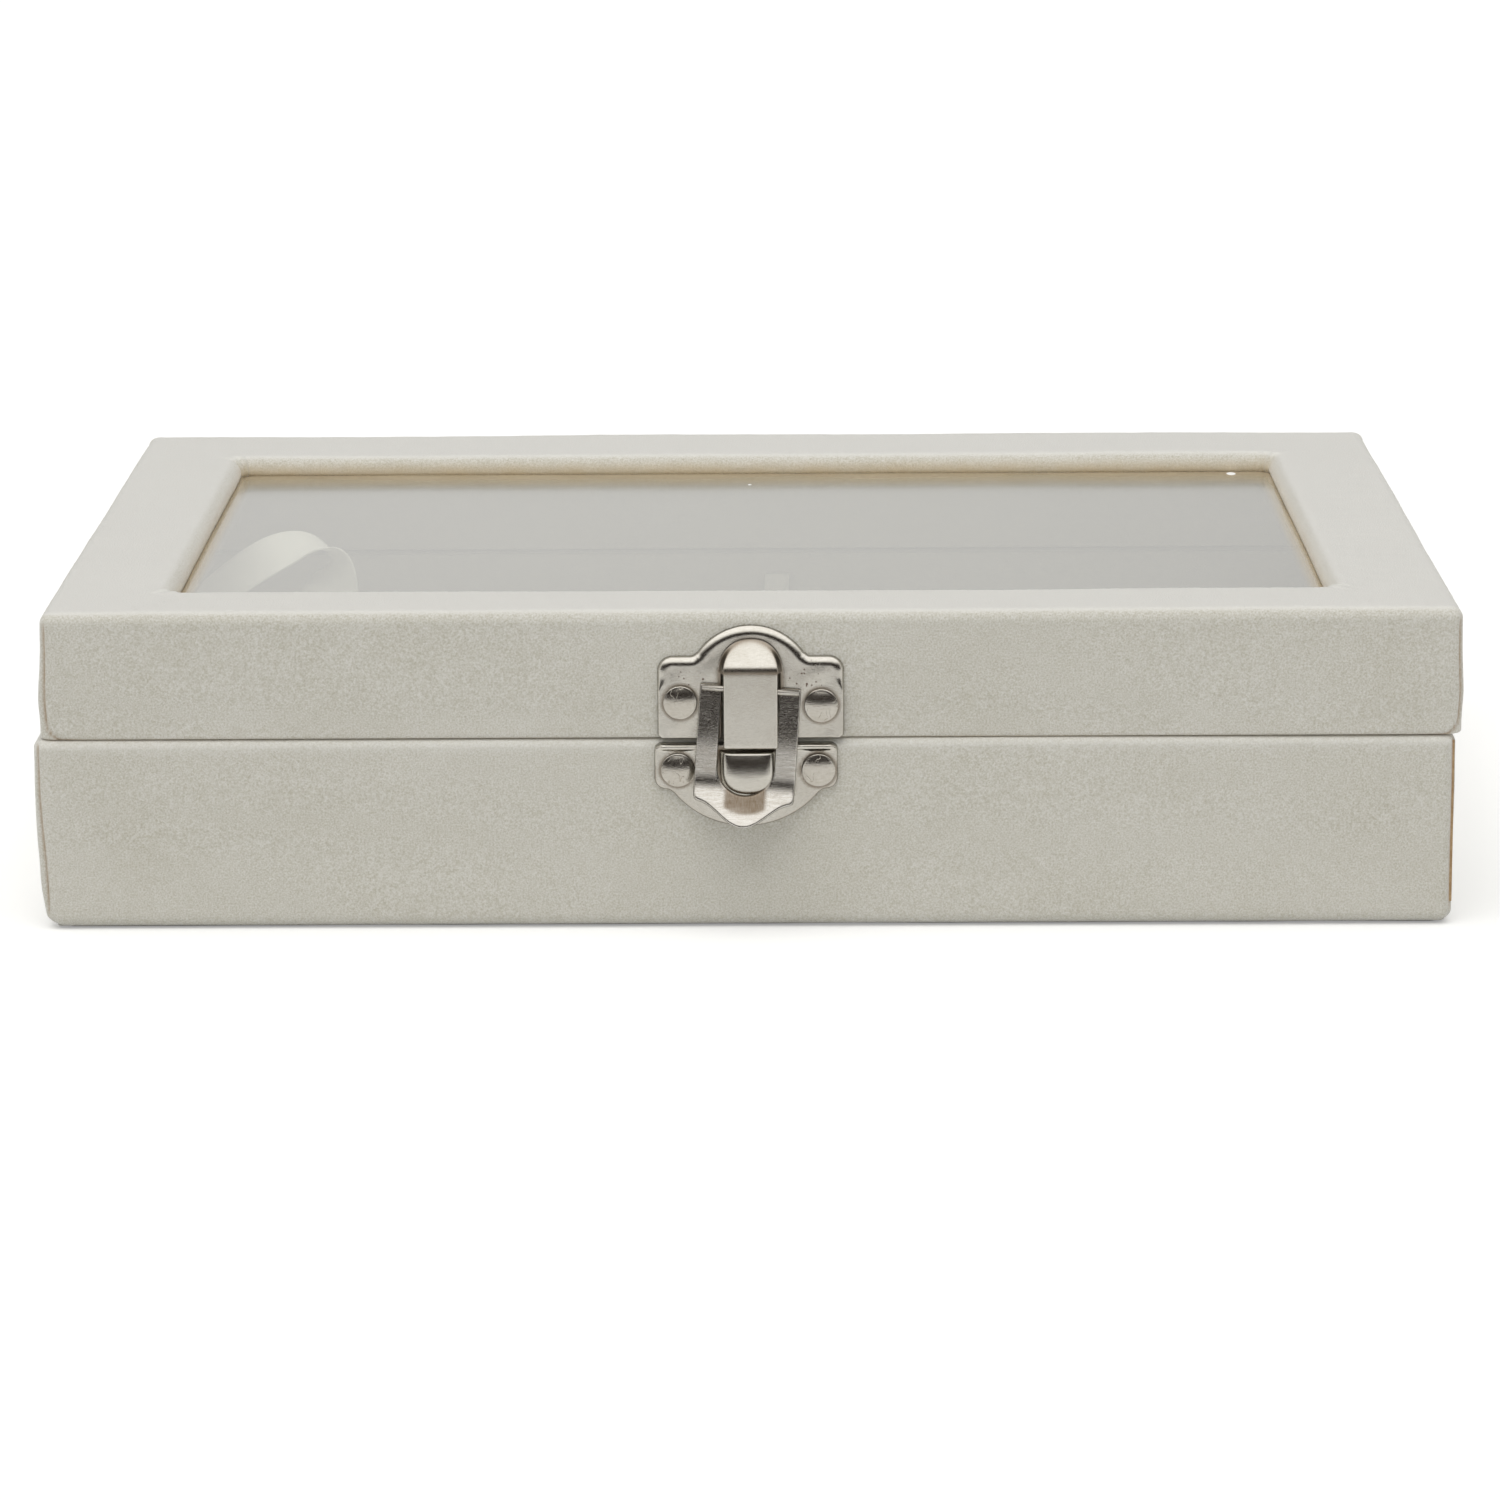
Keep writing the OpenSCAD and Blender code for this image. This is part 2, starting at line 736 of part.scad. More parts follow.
module latch_lid_plate() {
    dome_h = tongue_w / 2;
    dome_rise = tongue_stand - plate_rise;
    slot_w = tongue_w + 2 * tongue_slot;
    color(NICKEL) {
        difference() {
            union() {
                facing_front(front_y, plate_rise) lid_plate_outline(0);
                pressed_bump(tongue_w / 2, dome_rise, dome_h, crease_z, 1);
            }
            facing_front(front_y + over, plate_rise - sheet_t + over) lid_plate_outline(sheet_t);
            pressed_bump(tongue_w / 2 - sheet_t, dome_rise - sheet_t, dome_h - sheet_t, crease_z, 1);
            block([-slot_w / 2, plate_y - over, lid_plate_z - over], [slot_w / 2, front_y + over, crease_z]);
            at_lid_latch_nails() latch_nail_hole();
        }
        block([-tongue_w / 2, tongue_y, crease_z - tongue_l], [tongue_w / 2, tongue_y + sheet_t, tongue_top]);
        block([-tongue_w / 2, tongue_y, crease_z - tongue_l],
              [tongue_w / 2, tongue_y + tongue_lip, crease_z - tongue_l + sheet_t]);
    }
}

module latch_base_plate() {
    rim_z = base_plate_z - nose_sink;
    color(NICKEL) translate([base_plate_shift, 0, 0]) difference() {
        union() {
            difference() {
                facing_front(front_y, plate_rise) base_plate_outline(0);
                facing_front(front_y + over, plate_rise - sheet_t + over) base_plate_outline(sheet_t);
            }
            translate([foot_r - base_plate_w / 2, plate_y, base_plate_z - bead_r]) rotate([0, 90, 0])
                cylinder(r = bead_r, h = base_plate_w - 2 * foot_r);
            difference() {
                pressed_bump(nose_w / 2, nose_rise, nose_h, rim_z, -1);
                translate([0, 0, over / 4])
                    pressed_bump(nose_w / 2 - sheet_t, nose_rise - sheet_t, nose_h - sheet_t, rim_z, -1);
            }
        }
        translate([-base_plate_shift, 0, 0]) at_base_latch_nails() latch_nail_hole();
    }
}

module latch_nails() {
    translate([0, plate_y, 0]) rotate([90, 0, 0]) domed_nail(head_r, head_h, shank_r, nail_l);
}

module latch_base_nails() {
    color(NICKEL) at_base_latch_nails() latch_nails();
}

module latch_lid_nails() {
    color(NICKEL) at_lid_latch_nails() latch_nails();
}

// Latch lever, drawn about its bar

// Rise of the tip's ogee outline at distance x from the middle
function ogee(x) = ogee_h * (1 - cos(180 * min(abs(x) / (0.465 * lever_w), 1))) / 2;

module lever_outline() {
    half = lever_w / 2;
    tip = [for (i = [-12:12]) let (x = half * i / 12) [x, ogee(x) - lever_l]];
    difference() {
        polygon(concat(tip, [[half, bar_r], [-half, bar_r]]));
        translate([0, lever_window_w / 2 - window_drop]) circle(lever_window_w / 2);
        translate([-lever_window_w / 2, lever_window_w / 2 - window_drop])
            square([lever_window_w, window_drop - lever_window_w / 2 - bar_r]);
    }
}

// Side view of the lever's sheet: flat legs, then a flare that curves outwards
module lever_side_view() {
    flare_deg = asin((lever_l - leg_l) / (flare_r + sheet_t / 2)) + 1;
    front = [for (i = [0:10]) let (a = flare_deg * i / 10, r = flare_r - sheet_t / 2)
        [r * cos(a) - flare_r, -leg_l - r * sin(a)]];
    back = [for (i = [10:-1:0]) let (a = flare_deg * i / 10, r = flare_r + sheet_t / 2)
        [r * cos(a) - flare_r, -leg_l - r * sin(a)]];
    polygon(concat([[-sheet_t / 2, 0]], front, back, [[sheet_t / 2, 0]]));
}

module latch_lever() {
    color(NICKEL) translate([0, lever_y, pivot_z]) rotate([0, lever_lean, 0]) {
        intersection() {
            along_x(-lever_w / 2, lever_w / 2) lever_side_view();
            facing_front(over, flare_r) lever_outline();
        }
        rotate([0, 90, 0]) translate([0, 0, -lever_w / 2]) cylinder(r = bar_r, h = lever_w);
    }
}

base_floor_board();
base_front_wall();
base_rear_wall();
base_left_wall();
base_right_wall();
base_velvet();
underside_felt();
base_front_lining();
base_rear_lining();
base_left_lining();
base_right_lining();
insert_board();
pull_tab();
stay_ribbon();
for (i = [1:ROLLS]) ring_roll(i);
latch_base_plate();
latch_base_nails();
hinge_leaf(-1, -1);  // hinge_left_base_leaf
hinge_leaf(1, -1);  // hinge_right_base_leaf
hinge_pin(-1);  // hinge_left_pin
hinge_pin(1);  // hinge_right_pin
hinge_base_nails();
lid_front_wall();
lid_rear_wall();
lid_left_wall();
lid_right_wall();
lid_front_rail();
lid_rear_rail();
lid_left_rail();
lid_right_rail();
lid_velvet();
glass_pane();
lid_front_lining();
lid_rear_lining();
lid_left_lining();
lid_right_lining();
latch_lid_plate();
latch_lid_nails();
hinge_leaf(-1, 1);  // hinge_left_lid_leaf
hinge_leaf(1, 1);  // hinge_right_lid_leaf
hinge_lid_nails();
latch_lever();
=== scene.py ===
import bmesh
import bpy
import numpy as np
from mathutils import Matrix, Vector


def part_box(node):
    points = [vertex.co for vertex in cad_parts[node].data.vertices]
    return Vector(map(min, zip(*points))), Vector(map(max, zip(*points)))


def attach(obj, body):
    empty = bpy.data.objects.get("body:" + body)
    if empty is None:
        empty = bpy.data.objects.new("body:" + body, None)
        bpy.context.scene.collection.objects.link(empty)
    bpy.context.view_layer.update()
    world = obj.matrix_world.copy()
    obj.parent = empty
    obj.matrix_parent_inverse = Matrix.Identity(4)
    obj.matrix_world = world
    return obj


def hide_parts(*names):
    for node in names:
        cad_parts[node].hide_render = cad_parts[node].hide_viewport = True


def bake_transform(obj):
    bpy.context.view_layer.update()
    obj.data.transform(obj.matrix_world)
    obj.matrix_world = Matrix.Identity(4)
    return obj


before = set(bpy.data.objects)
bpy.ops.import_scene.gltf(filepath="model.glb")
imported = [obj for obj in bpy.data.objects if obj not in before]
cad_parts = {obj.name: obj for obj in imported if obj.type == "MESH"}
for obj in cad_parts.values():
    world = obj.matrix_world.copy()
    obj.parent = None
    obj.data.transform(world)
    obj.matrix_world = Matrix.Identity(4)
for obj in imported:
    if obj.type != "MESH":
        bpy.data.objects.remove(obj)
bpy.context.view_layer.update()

# Camera: where the box was photographed from, a little right of its middle and 0.9 m away,
# looking down by 12.7 degrees through a long lens.
LENS_MM = 139.96
CAMERA_PLACE = (0.00571, -0.87689, 0.20629)
LOOK_DOWN, TURN, ROLL = np.radians([12.682, -0.418, -0.334])

ahead = np.array([np.sin(TURN) * np.cos(LOOK_DOWN), np.cos(TURN) * np.cos(LOOK_DOWN), -np.sin(LOOK_DOWN)])
level = np.array([np.cos(TURN), -np.sin(TURN), 0.0])
upward = np.cross(level, ahead)
right = np.cos(ROLL) * level + np.sin(ROLL) * upward
top = np.cos(ROLL) * upward - np.sin(ROLL) * level
camera_data = bpy.data.cameras.new("camera")
camera_data.lens = LENS_MM
camera_data.sensor_width = 36.0
camera_data.clip_end = 50.0
camera = bpy.data.objects.new("camera", camera_data)
bpy.context.collection.objects.link(camera)
turn = Matrix([[float(right[i]), float(top[i]), float(-ahead[i])] for i in range(3)]).to_4x4()
camera.matrix_world = Matrix.Translation(CAMERA_PLACE) @ turn
bpy.context.scene.camera = camera


# Shader maths: an expression on a value adds the Math nodes that work it out.
class Value:
    """One output socket in a node tree. Arithmetic on it adds Math nodes, and node() adds any other node."""

    def __init__(self, tree, socket=None):
        self.tree, self.socket = tree, socket

    def node(self, kind, settings=None, inputs=None, out=0):
        """Adds a node, makes its settings, fills its sockets with values or links, and gives one output."""
        made = self.tree.nodes.new("ShaderNode" + kind)
        for key, value in (settings or {}).items():
            setattr(made, key, value)
        for key, value in (inputs or {}).items():
            if isinstance(value, Value):
                self.tree.links.new(value.socket, made.inputs[key])
            else:
                made.inputs[key].default_value = value
        return Value(self.tree, made.outputs[out])

    def maths(self, operation, a, b=0.0, clamp=False):
        return self.node("Math", {"operation": operation, "use_clamp": clamp}, {0: a, 1: b})

    def __add__(self, other): return self.maths("ADD", self, other)
    def __radd__(self, other): return self.maths("ADD", other, self)
    def __sub__(self, other): return self.maths("SUBTRACT", self, other)
    def __rsub__(self, other): return self.maths("SUBTRACT", other, self)
    def __mul__(self, other): return self.maths("MULTIPLY", self, other)
    def __rmul__(self, other): return self.maths("MULTIPLY", other, self)
    def __truediv__(self, other): return self.maths("DIVIDE", self, other)
    def __pow__(self, other): return self.maths("POWER", self, other)
    def clip(self): return self.maths("ADD", self, 0.0, clamp=True)
    def high(self, other): return self.maths("MAXIMUM", self, other)
    def size(self): return self.maths("ABSOLUTE", self)

    def step(self, low, high):
        """Smooth rise from 0 at low to 1 at high."""
        return self.node("MapRange", {"interpolation_type": "SMOOTHSTEP"}, {0: self, 1: low, 2: high})

    def places(self):
        """Object coordinates."""
        return self.node("TexCoord", out="Object")

    def axes(self, vector):
        """The three parts of a vector."""
        parts = self.tree.nodes.new("ShaderNodeSeparateXYZ")
        self.tree.links.new(vector.socket, parts.inputs[0])
        return [Value(self.tree, parts.outputs[i]) for i in range(3)]

    def stretch(self, vector, factors):
        """A vector with each axis multiplied by its factor."""
        return self.node("VectorMath", {"operation": "MULTIPLY"}, {0: vector, 1: factors})

    def noise(self, grain, detail=2.0, vector=None, rough=0.5):
        """Noise from 0 to 1 whose lumps are about grain metres across."""
        return self.node("TexNoise", {}, {
            "Vector": vector or self.places(), "Scale": 1.0 / grain, "Detail": detail, "Roughness": rough})

    def mix(self, share, one, other):
        """Colour one where share is 0 and the other where it is 1."""
        ends = {key: (*shade, 1.0) if isinstance(shade, tuple) else shade
                for key, shade in ((6, one), (7, other))}
        return self.node("Mix", {"data_type": "RGBA"}, {0: share, **ends}, out=2)

    def attribute(self, name):
        return self.node("Attribute", {"attribute_name": name}, out="Fac")

    def bump(self, height, depth, strength=1.0):
        """Normal for a relief of the given depth in metres."""
        return self.node("Bump", {}, {"Height": height, "Distance": depth, "Strength": strength})


def new_material(name):
    """An empty node material and a Value that writes into it."""
    made = bpy.data.materials.new(name)
    made.use_nodes = True
    made.node_tree.nodes.clear()
    return made, Value(made.node_tree)


def close_material(draw, surface):
    """Joins a shader to the material's or the world's output."""
    kind = "World" if draw.tree == bpy.context.scene.world.node_tree else "Material"
    draw.tree.links.new(surface.socket, draw.tree.nodes.new("ShaderNodeOutput" + kind).inputs[0])


def linear(red, green, blue):
    """Linear colour of an sRGB colour given from 0 to 255."""
    return tuple(float(((c / 255 + 0.055) / 1.055) ** 2.4) for c in (red, green, blue))


# World and lamps: an even white tent with one wide soft lamp overhead. Behind the camera the room
# is dim, and polished metal mirrors it in dark bands. The tent's roof is its brightest part.
TENT = 0.50
TENT_WALL = (0.925, 0.915, 0.88)
DIM_ROOM = linear(50, 43, 39)
ROOF_LIFT = 0.75
LAMP = 1.60
LAMP_WIDTH = np.radians(62)
LAMP_TILT, LAMP_LEAN = np.radians([14, -6])
SIDE_DIM = 0.07

bpy.context.scene.view_settings.view_transform = "Standard"
if bpy.context.scene.world is None:
    bpy.context.scene.world = bpy.data.worlds.new("world")
bpy.context.scene.world.use_nodes = True
bpy.context.scene.world.node_tree.nodes.clear()
draw = Value(bpy.context.scene.world.node_tree)


def shown_white(draw):
    """1 for the rays that see the background itself: straight, in a reflection or through glass."""
    rays = ["Is Camera Ray", "Is Glossy Ray", "Is Transmission Ray"]
    seen = [draw.node("LightPath", out=ray) for ray in rays]
    return seen[0].high(seen[1]).high(seen[2])


toward = draw.axes(draw.node("TexCoord", out="Generated"))
mirrored = draw.node("LightPath", out="Is Glossy Ray")
behind_camera = (0.0 - toward[1]).step(0.20, 0.50)
dim = behind_camera * (1.0 - toward[2].step(0.34, 0.52)) * mirrored
roof = toward[2].step(0.38, 0.70) * mirrored
wall = draw.mix(mirrored * (1.0 - roof), (1.0, 0.995, 0.985), TENT_WALL)
right_dim = 1.0 - mirrored * toward[0].step(-0.12, 0.12) * SIDE_DIM
strength = (shown_white(draw) * (1.0 - TENT) + TENT) * right_dim + roof * ROOF_LIFT
close_material(draw, draw.node("Background", {}, {
    "Color": draw.mix(dim, wall, DIM_ROOM), "Strength": strength}))

lamp_data = bpy.data.lights.new("soft_lamp", "SUN")
lamp_data.energy, lamp_data.angle = LAMP, LAMP_WIDTH
lamp_data.color = (1.0, 0.995, 0.98)
lamp = bpy.data.objects.new("soft_lamp", lamp_data)
lamp.rotation_euler = (LAMP_TILT, LAMP_LEAN, 0.0)
lamp.visible_glossy = False
bpy.context.collection.objects.link(lamp)


# Floor: a pale sheet of paper on a table, whose front edge is just outside the picture. The camera sees
# it as white, apart from the shadow.
FLOOR_REACH, FLOOR_FRONT = 4000.0, -360.0
FLOOR_LIFT = 0.30


def grid_arrays(points, ring_u=False, ring_v=False, start=0):
    """Corner places and four-cornered faces of a (u, v, 3) array of points in millimetres.
    A ring joins the last row or column to the first. Faces look along d/du x d/dv."""
    count_u, count_v = points.shape[:2]
    index = start + np.arange(count_u * count_v).reshape(count_u, count_v)
    if ring_u:
        index = np.concatenate([index, index[:1]], 0)
    if ring_v:
        index = np.concatenate([index, index[:, :1]], 1)
    faces = np.stack([index[:-1, :-1], index[1:, :-1], index[1:, 1:], index[:-1, 1:]], -1)
    return points.reshape(-1, 3), faces.reshape(-1, 4)


def mesh_piece(name, grids, material, marks=None, merge=0.0):
    """An object from grids, each (points, ring_u, ring_v). marks are values kept at the corners,
    one flat array for each name. merge joins corners that are closer than that many millimetres."""
    corners, faces = [], []
    for points, ring_u, ring_v in grids:
        places, quads = grid_arrays(points, ring_u, ring_v, sum(len(c) for c in corners))
        corners.append(places)
        faces.append(quads)
    mesh = bpy.data.meshes.new(name)
    mesh.from_pydata(np.concatenate(corners) / 1000.0, [], np.concatenate(faces))
    for mark, values in (marks or {}).items():
        kept = mesh.attributes.new(mark, "FLOAT", "POINT")
        kept.data.foreach_set("value", np.ravel(values).astype(np.float32))
    if merge:
        work = bmesh.new()
        work.from_mesh(mesh)
        bmesh.ops.remove_doubles(work, verts=work.verts, dist=merge / 1000.0)
        work.to_mesh(mesh)
        work.free()
    mesh.shade_smooth()
    mesh.materials.append(material)
    made = bpy.data.objects.new(name, mesh)
    bpy.context.collection.objects.link(made)
    return made


def thickened(piece, thickness):
    """Gives a single surface a thickness in millimetres, which goes inwards from it."""
    wall = piece.modifiers.new("thickness", "SOLIDIFY")
    wall.thickness, wall.offset = thickness / 1000.0, -1.0


paper, draw = new_material("floor_paper")
fibre = draw.noise(0.002, 3.0)
shade = draw.mix(fibre * 0.3, (0.80, 0.80, 0.79), (0.78, 0.78, 0.77))
lit = draw.node("BsdfDiffuse", {}, {"Color": shade})
glow = draw.node("Emission", {}, {"Color": (1.0, 1.0, 1.0, 1.0), "Strength": shown_white(draw) * FLOOR_LIFT})
close_material(draw, draw.node("AddShader", {}, {0: lit, 1: glow}))
floor_points = np.stack(np.meshgrid(
    np.linspace(-FLOOR_REACH, FLOOR_REACH, 9), np.linspace(FLOOR_FRONT, FLOOR_REACH, 9), [0.0],
    indexing="ij"), -1)[:, :, 0]
floor = mesh_piece("floor", [(floor_points, False, False)], paper)


# Velvet: a short cotton pile on a woven back, ivory, glued over the boards. It covers both halves
# and the ring rolls.
IVORY = (0.775, 0.762, 0.715)
SHADED_PILE = (0.53, 0.505, 0.415)
GLUE_BROWN = (0.40, 0.28, 0.17)
# The tan brown on the next line is glue stain, and is also painted shade on the cloth rolled into the window
# and in the parting gap.
GLUE_STAIN_AND_SHADE = (0.67, 0.56, 0.39)
PILE_GRAIN, PILE_HEIGHT = 0.00026, 0.00016
RUBBED_SPOT = (-0.085, 0.012, 0.012)
CLOTH = 0.75
PANEL_Y = 72.5


def velvet_material(name, ivory=IVORY, shaded=SHADED_PILE, worn=None):
    """Pile: fine speckle from noise at the size of the tufts, soft blotches where it was stroked, and a
    brown line where the mark named seam is high. Where the laid mark is high the pile lies flat with weaker
    speckle and is painted lighter, a painted sheen. The tuck mark mixes in a tan brown that is glue stain and
    painted shade. worn is a spot (x, z, radius) that has been rubbed."""
    made, draw = new_material(name)
    laid_with_sheen = draw.attribute("laid_with_sheen")
    tufts = draw.noise(PILE_GRAIN, 3.0, rough=0.62)
    clumps = draw.noise(0.0012, 2.0)
    strokes = draw.noise(0.019, 3.0)
    uneven = (tufts - 0.5) * 2.5 + (clumps - 0.5) * 0.28 + (strokes - 0.5) * 0.35
    # Painted sheen: where the laid mark is high the speckle is weaker and the pile is painted lighter.
    shade = uneven * (1.0 - laid_with_sheen * 0.7) + 0.45 * (1.0 - laid_with_sheen)
    if worn:
        x, _, z = draw.axes(draw.places())
        away = ((x - worn[0]) * (x - worn[0]) + (z - worn[1]) * (z - worn[1])) ** 0.5
        shade = shade + (1.0 - away.step(0.0, worn[2])) * clumps * 0.22
    pile = draw.mix(shade.clip(), ivory, shaded)
    # The tuck mark paints in a tan brown: glue stain, and painted shade where the cloth rolls down to the
    # glass and in the parting gap.
    stained_and_shaded = draw.mix(draw.attribute("tuck") * (0.5 + draw.noise(0.004, 2.0) * 0.7), pile, GLUE_STAIN_AND_SHADE)
    ragged = draw.attribute("seam") * (0.3 + draw.noise(0.0009, 2.0) * 0.8)
    coloured = draw.mix(ragged.clip(), stained_and_shaded, GLUE_BROWN)
    relief = tufts + clumps * 0.2
    surface = draw.node("BsdfPrincipled", {}, {
        "Base Color": coloured, "Roughness": 0.92, "Normal": draw.bump(relief, PILE_HEIGHT, 0.7),
        "Specular IOR Level": 0.15, "Sheen Weight": 0.75, "Sheen Roughness": 0.40})
    close_material(draw, surface)
    return made


velvet = velvet_material("velvet", worn=RUBBED_SPOT)


def stations(straight, corner_steps):
    """Places along a rounded rectangle: mix of corner signs, outward direction, arc from the corner's start.
    straight is how far apart the places are on the long parts, in millimetres at the full size."""
    signs = np.array([[1.0, -1.0], [1.0, 1.0], [-1.0, 1.0], [-1.0, -1.0]])
    mixes, ways, arcs = [], [], []
    for side, length in enumerate([150.0, 200.0, 150.0, 200.0]):
        angle = np.radians(90.0 * side - 90.0 + 90.0 * np.arange(corner_steps + 1) / corner_steps)
        mixes.append(np.repeat(signs[side][None], corner_steps + 1, 0))
        ways.append(np.stack([np.cos(angle), np.sin(angle)], -1))
        arcs.append(angle - angle[0])
        near = np.array([0.3, 0.6, 0.9, 1.3, 1.7, 2.2, 2.7, 3.3, 4.0]) / length
        middle = np.linspace(5.0 / length, 1 - 5.0 / length, int(length / straight))
        share = np.concatenate([near, middle, 1 - near[::-1]])[:, None]
        mixes.append((1 - share) * signs[side] + share * signs[(side + 1) % 4])
        ways.append(np.repeat(ways[-1][-1:], len(share), 0))
        arcs.append(np.full(len(share), -1.0))
    return np.concatenate(mixes), np.concatenate(ways), np.concatenate(arcs)


def carried(mix, way, rows):
    """A profile carried round a rounded rectangle. Each row is (half width, half depth, middle in y, corner
    radius, z), and a point is the corner centre, or a place between two, plus the radius times the outward
    direction."""
    half_x, half_y, centre_y, radius, z = (column[None, :] for column in np.asarray(rows, float).T)
    x = mix[:, :1] * (half_x - radius) + radius * way[:, :1]
    y = mix[:, 1:] * (half_y - radius) + radius * way[:, 1:] + centre_y
    return np.stack([x, y, z + 0 * x], -1)


def box_row(half, radius, z):
    """A row of the box's own outline, whose half depth is 25 mm less than its half width."""
    return half, half - 25, 0, radius, z


def arc_rows(start, end, steps):
    """Angles from start to end in degrees, without the first, as (cosine, sine)."""
    angle = np.radians(np.linspace(start, end, steps + 1)[1:])
    return np.stack([np.cos(angle), np.sin(angle)], -1)


def grid_normals(points, ring_u=False):
    """Unit normals of a grid, from the cross product of its two directions."""
    if ring_u:
        wide = np.concatenate([points[-1:], points, points[:1]], 0)
        along = (wide[2:] - wide[:-2]) / 2
    else:
        along = np.gradient(points, axis=0)
    across = np.gradient(points, axis=1)
    normal = np.cross(along, across)
    return normal / np.maximum(np.linalg.norm(normal, axis=-1, keepdims=True), 1e-9)


def slack(points, seed, waves):
    """Sum of sines in space with random directions: waves are (wavelength, height) in millimetres."""
    chance = np.random.default_rng(seed)
    total = np.zeros(points.shape[:-1])
    for length, height in waves:
        for _ in range(4):
            way = chance.normal(size=3)
            way *= 2 * np.pi / length / np.linalg.norm(way)
            total += height / 2 * np.sin(points @ way + chance.uniform(0, 2 * np.pi))
    return total


def bell(distance, width):
    """1 at no distance, falling off on both sides as e to the power of minus the square."""
    return np.exp(-(distance / width) ** 2)


def rise(value, low, high):
    """Smooth step from 0 at low to 1 at high."""
    share = np.clip((value - low) / (high - low), 0.0, 1.0)
    return share * share * (3 - 2 * share)


def panel_edge(points, side_x, middle_x, foot, head, foot_r, head_r):
    """Distance in millimetres outside the front or rear panel of cloth: a rectangle side_x to each side of
    middle_x and from foot to head, with rounded lower and upper corners."""
    x, z = np.abs(points[..., 0] - middle_x), points[..., 2]
    radius = np.where(z < (foot + head) / 2, foot_r, head_r)
    below = np.maximum(foot + radius - z, z - (head - radius))
    past = x - (side_x - radius)
    outside = np.hypot(np.maximum(past, 0), np.maximum(below, 0))
    return outside + np.minimum(np.maximum(past, below), 0) - radius


def wrapped(name, points, board, seed, panel, swell, z_waves, marks):
    """A velvet covering: waves, and corner seams pressed in where the mark seam is 1. board is how far out
    the side boards reach at each point, and the sides stay outside it. swell gives how far the side and the
    front faces stand out at each height, z_waves how much the waves lift."""
    normal = grid_normals(points, ring_u=True)
    edge = panel_edge(points, *panel)
    seam = bell(edge, 0.17) * (np.abs(points[..., 1]) > PANEL_Y) * marks["seam"]
    side, front = swell(points[..., 2])
    waves = slack(points, seed, [(70, 0.10), (23, 0.03), (6, 0.014), (2.6, 0.014)])
    push = normal * (waves - 0.28 * seam)[..., None]
    push[..., 2] *= z_waves
    push[..., 0] += np.sign(points[..., 0]) * rise(np.abs(points[..., 0]), 98.2, 100.0) * side
    push[..., 1] += np.sign(points[..., 1]) * rise(np.abs(points[..., 1]), 73.2, 75.0) * front
    shape = points + push
    shape[..., 0] = np.sign(points[..., 0]) * np.maximum(np.abs(shape[..., 0]), board)
    made = mesh_piece(name, [(shape, True, False)], velvet, {**marks, "seam": seam})
    thickened(made, CLOTH)
    return made


# Base covering: one strip of velvet, glued round the four walls. It is turned over the rim and down to the
# lining, and its lower edge is turned in under the walls.
BASE_TOP, BASE_FOOT = 27.5, 0.4
BOARD_CLEAR = 0.72
mix, way, arcs = stations(0.85, 22)
base_rows = [box_row(98.4, 1.0, BASE_FOOT), box_row(98.9, 1.3, BASE_FOOT)]
base_rows += [box_row(98.4 + 1.6 * c, 2.0, BASE_FOOT + 1.6 + 1.6 * s) for c, s in arc_rows(-80, 0, 7)]
base_rows += [box_row(100, 2.0, z) for z in np.linspace(BASE_FOOT + 2.4, BASE_TOP - 1.4, 27)]
base_rows += [box_row(98.7 + 1.3 * c, 1.0 + c, BASE_TOP - 1.2 + 1.2 * s) for c, s in arc_rows(-6, 90, 10)]
base_rows += [box_row(half, 1.0, BASE_TOP) for half in np.linspace(98.2, 93.6, 6)]
base_rows += [box_row(93.4 - 0.7 * s, 0.6, BASE_TOP - 0.7 + 0.7 * c) for c, s in arc_rows(0, 90, 4)]
base_points = carried(mix, way, base_rows)
base_z = base_points[..., 2]
base_board = np.abs(base_points[..., 0]) - BOARD_CLEAR
on_panel = rise(np.abs(base_points[..., 1]), PANEL_Y, 73.8)
bulge = 1.05 + 0.48 * (1 - rise(base_z, 8, 27)) - 0.65 * (1 - rise(base_z, 1, 7))
base_points[..., 0] -= 0.75 * rise(base_points[..., 0], 96, 100) + bulge * rise(-base_points[..., 0], 96, 100)
base_cover = wrapped(
    "base_covering", base_points, base_board, 3, (99.65, -0.75, -2.0, 29.0, 1.2, 0.1),
    lambda z: (0.75 * rise(z, 5, 21) - 0.45 - 0.45 * (1 - rise(z, 0.3, 2.4)), 0.35 * rise(z, 8, 24)), 0.0,
    # The laid mark paints a highlight along the base's rounded top edge.
    {"seam": rise(base_z, 1.5, 4.0) * (1 - rise(base_z, 26.6, 27.2)), "laid_with_sheen": 0.5 * rise(base_z, 25.6, 26.6),
     # The tuck mark paints shade in tan brown on the rim's top face in the parting gap.
     "tuck": 0.6 * rise(base_z, BASE_TOP - 0.06, BASE_TOP) * on_panel})
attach(base_cover, "base")
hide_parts("base_velvet")

# Lid covering: velvet over the lid's four walls and its frame, rolled down into the window, where it is
# tucked under the frame, and turned in at the lower edge.
LID_FOOT, LID_TOP, GLASS_TOP = 27.6, 45.8, 42.8
WINDOW_X, WINDOW_Y, WINDOW_MID, WINDOW_R = 83.0, 55.35, -2.45, 1.8
ROLL_R = 2.5


def window_row(out, radius, z):
    """A row of the window's outline, moved outwards."""
    return WINDOW_X + out, WINDOW_Y + out, WINDOW_MID, radius, z


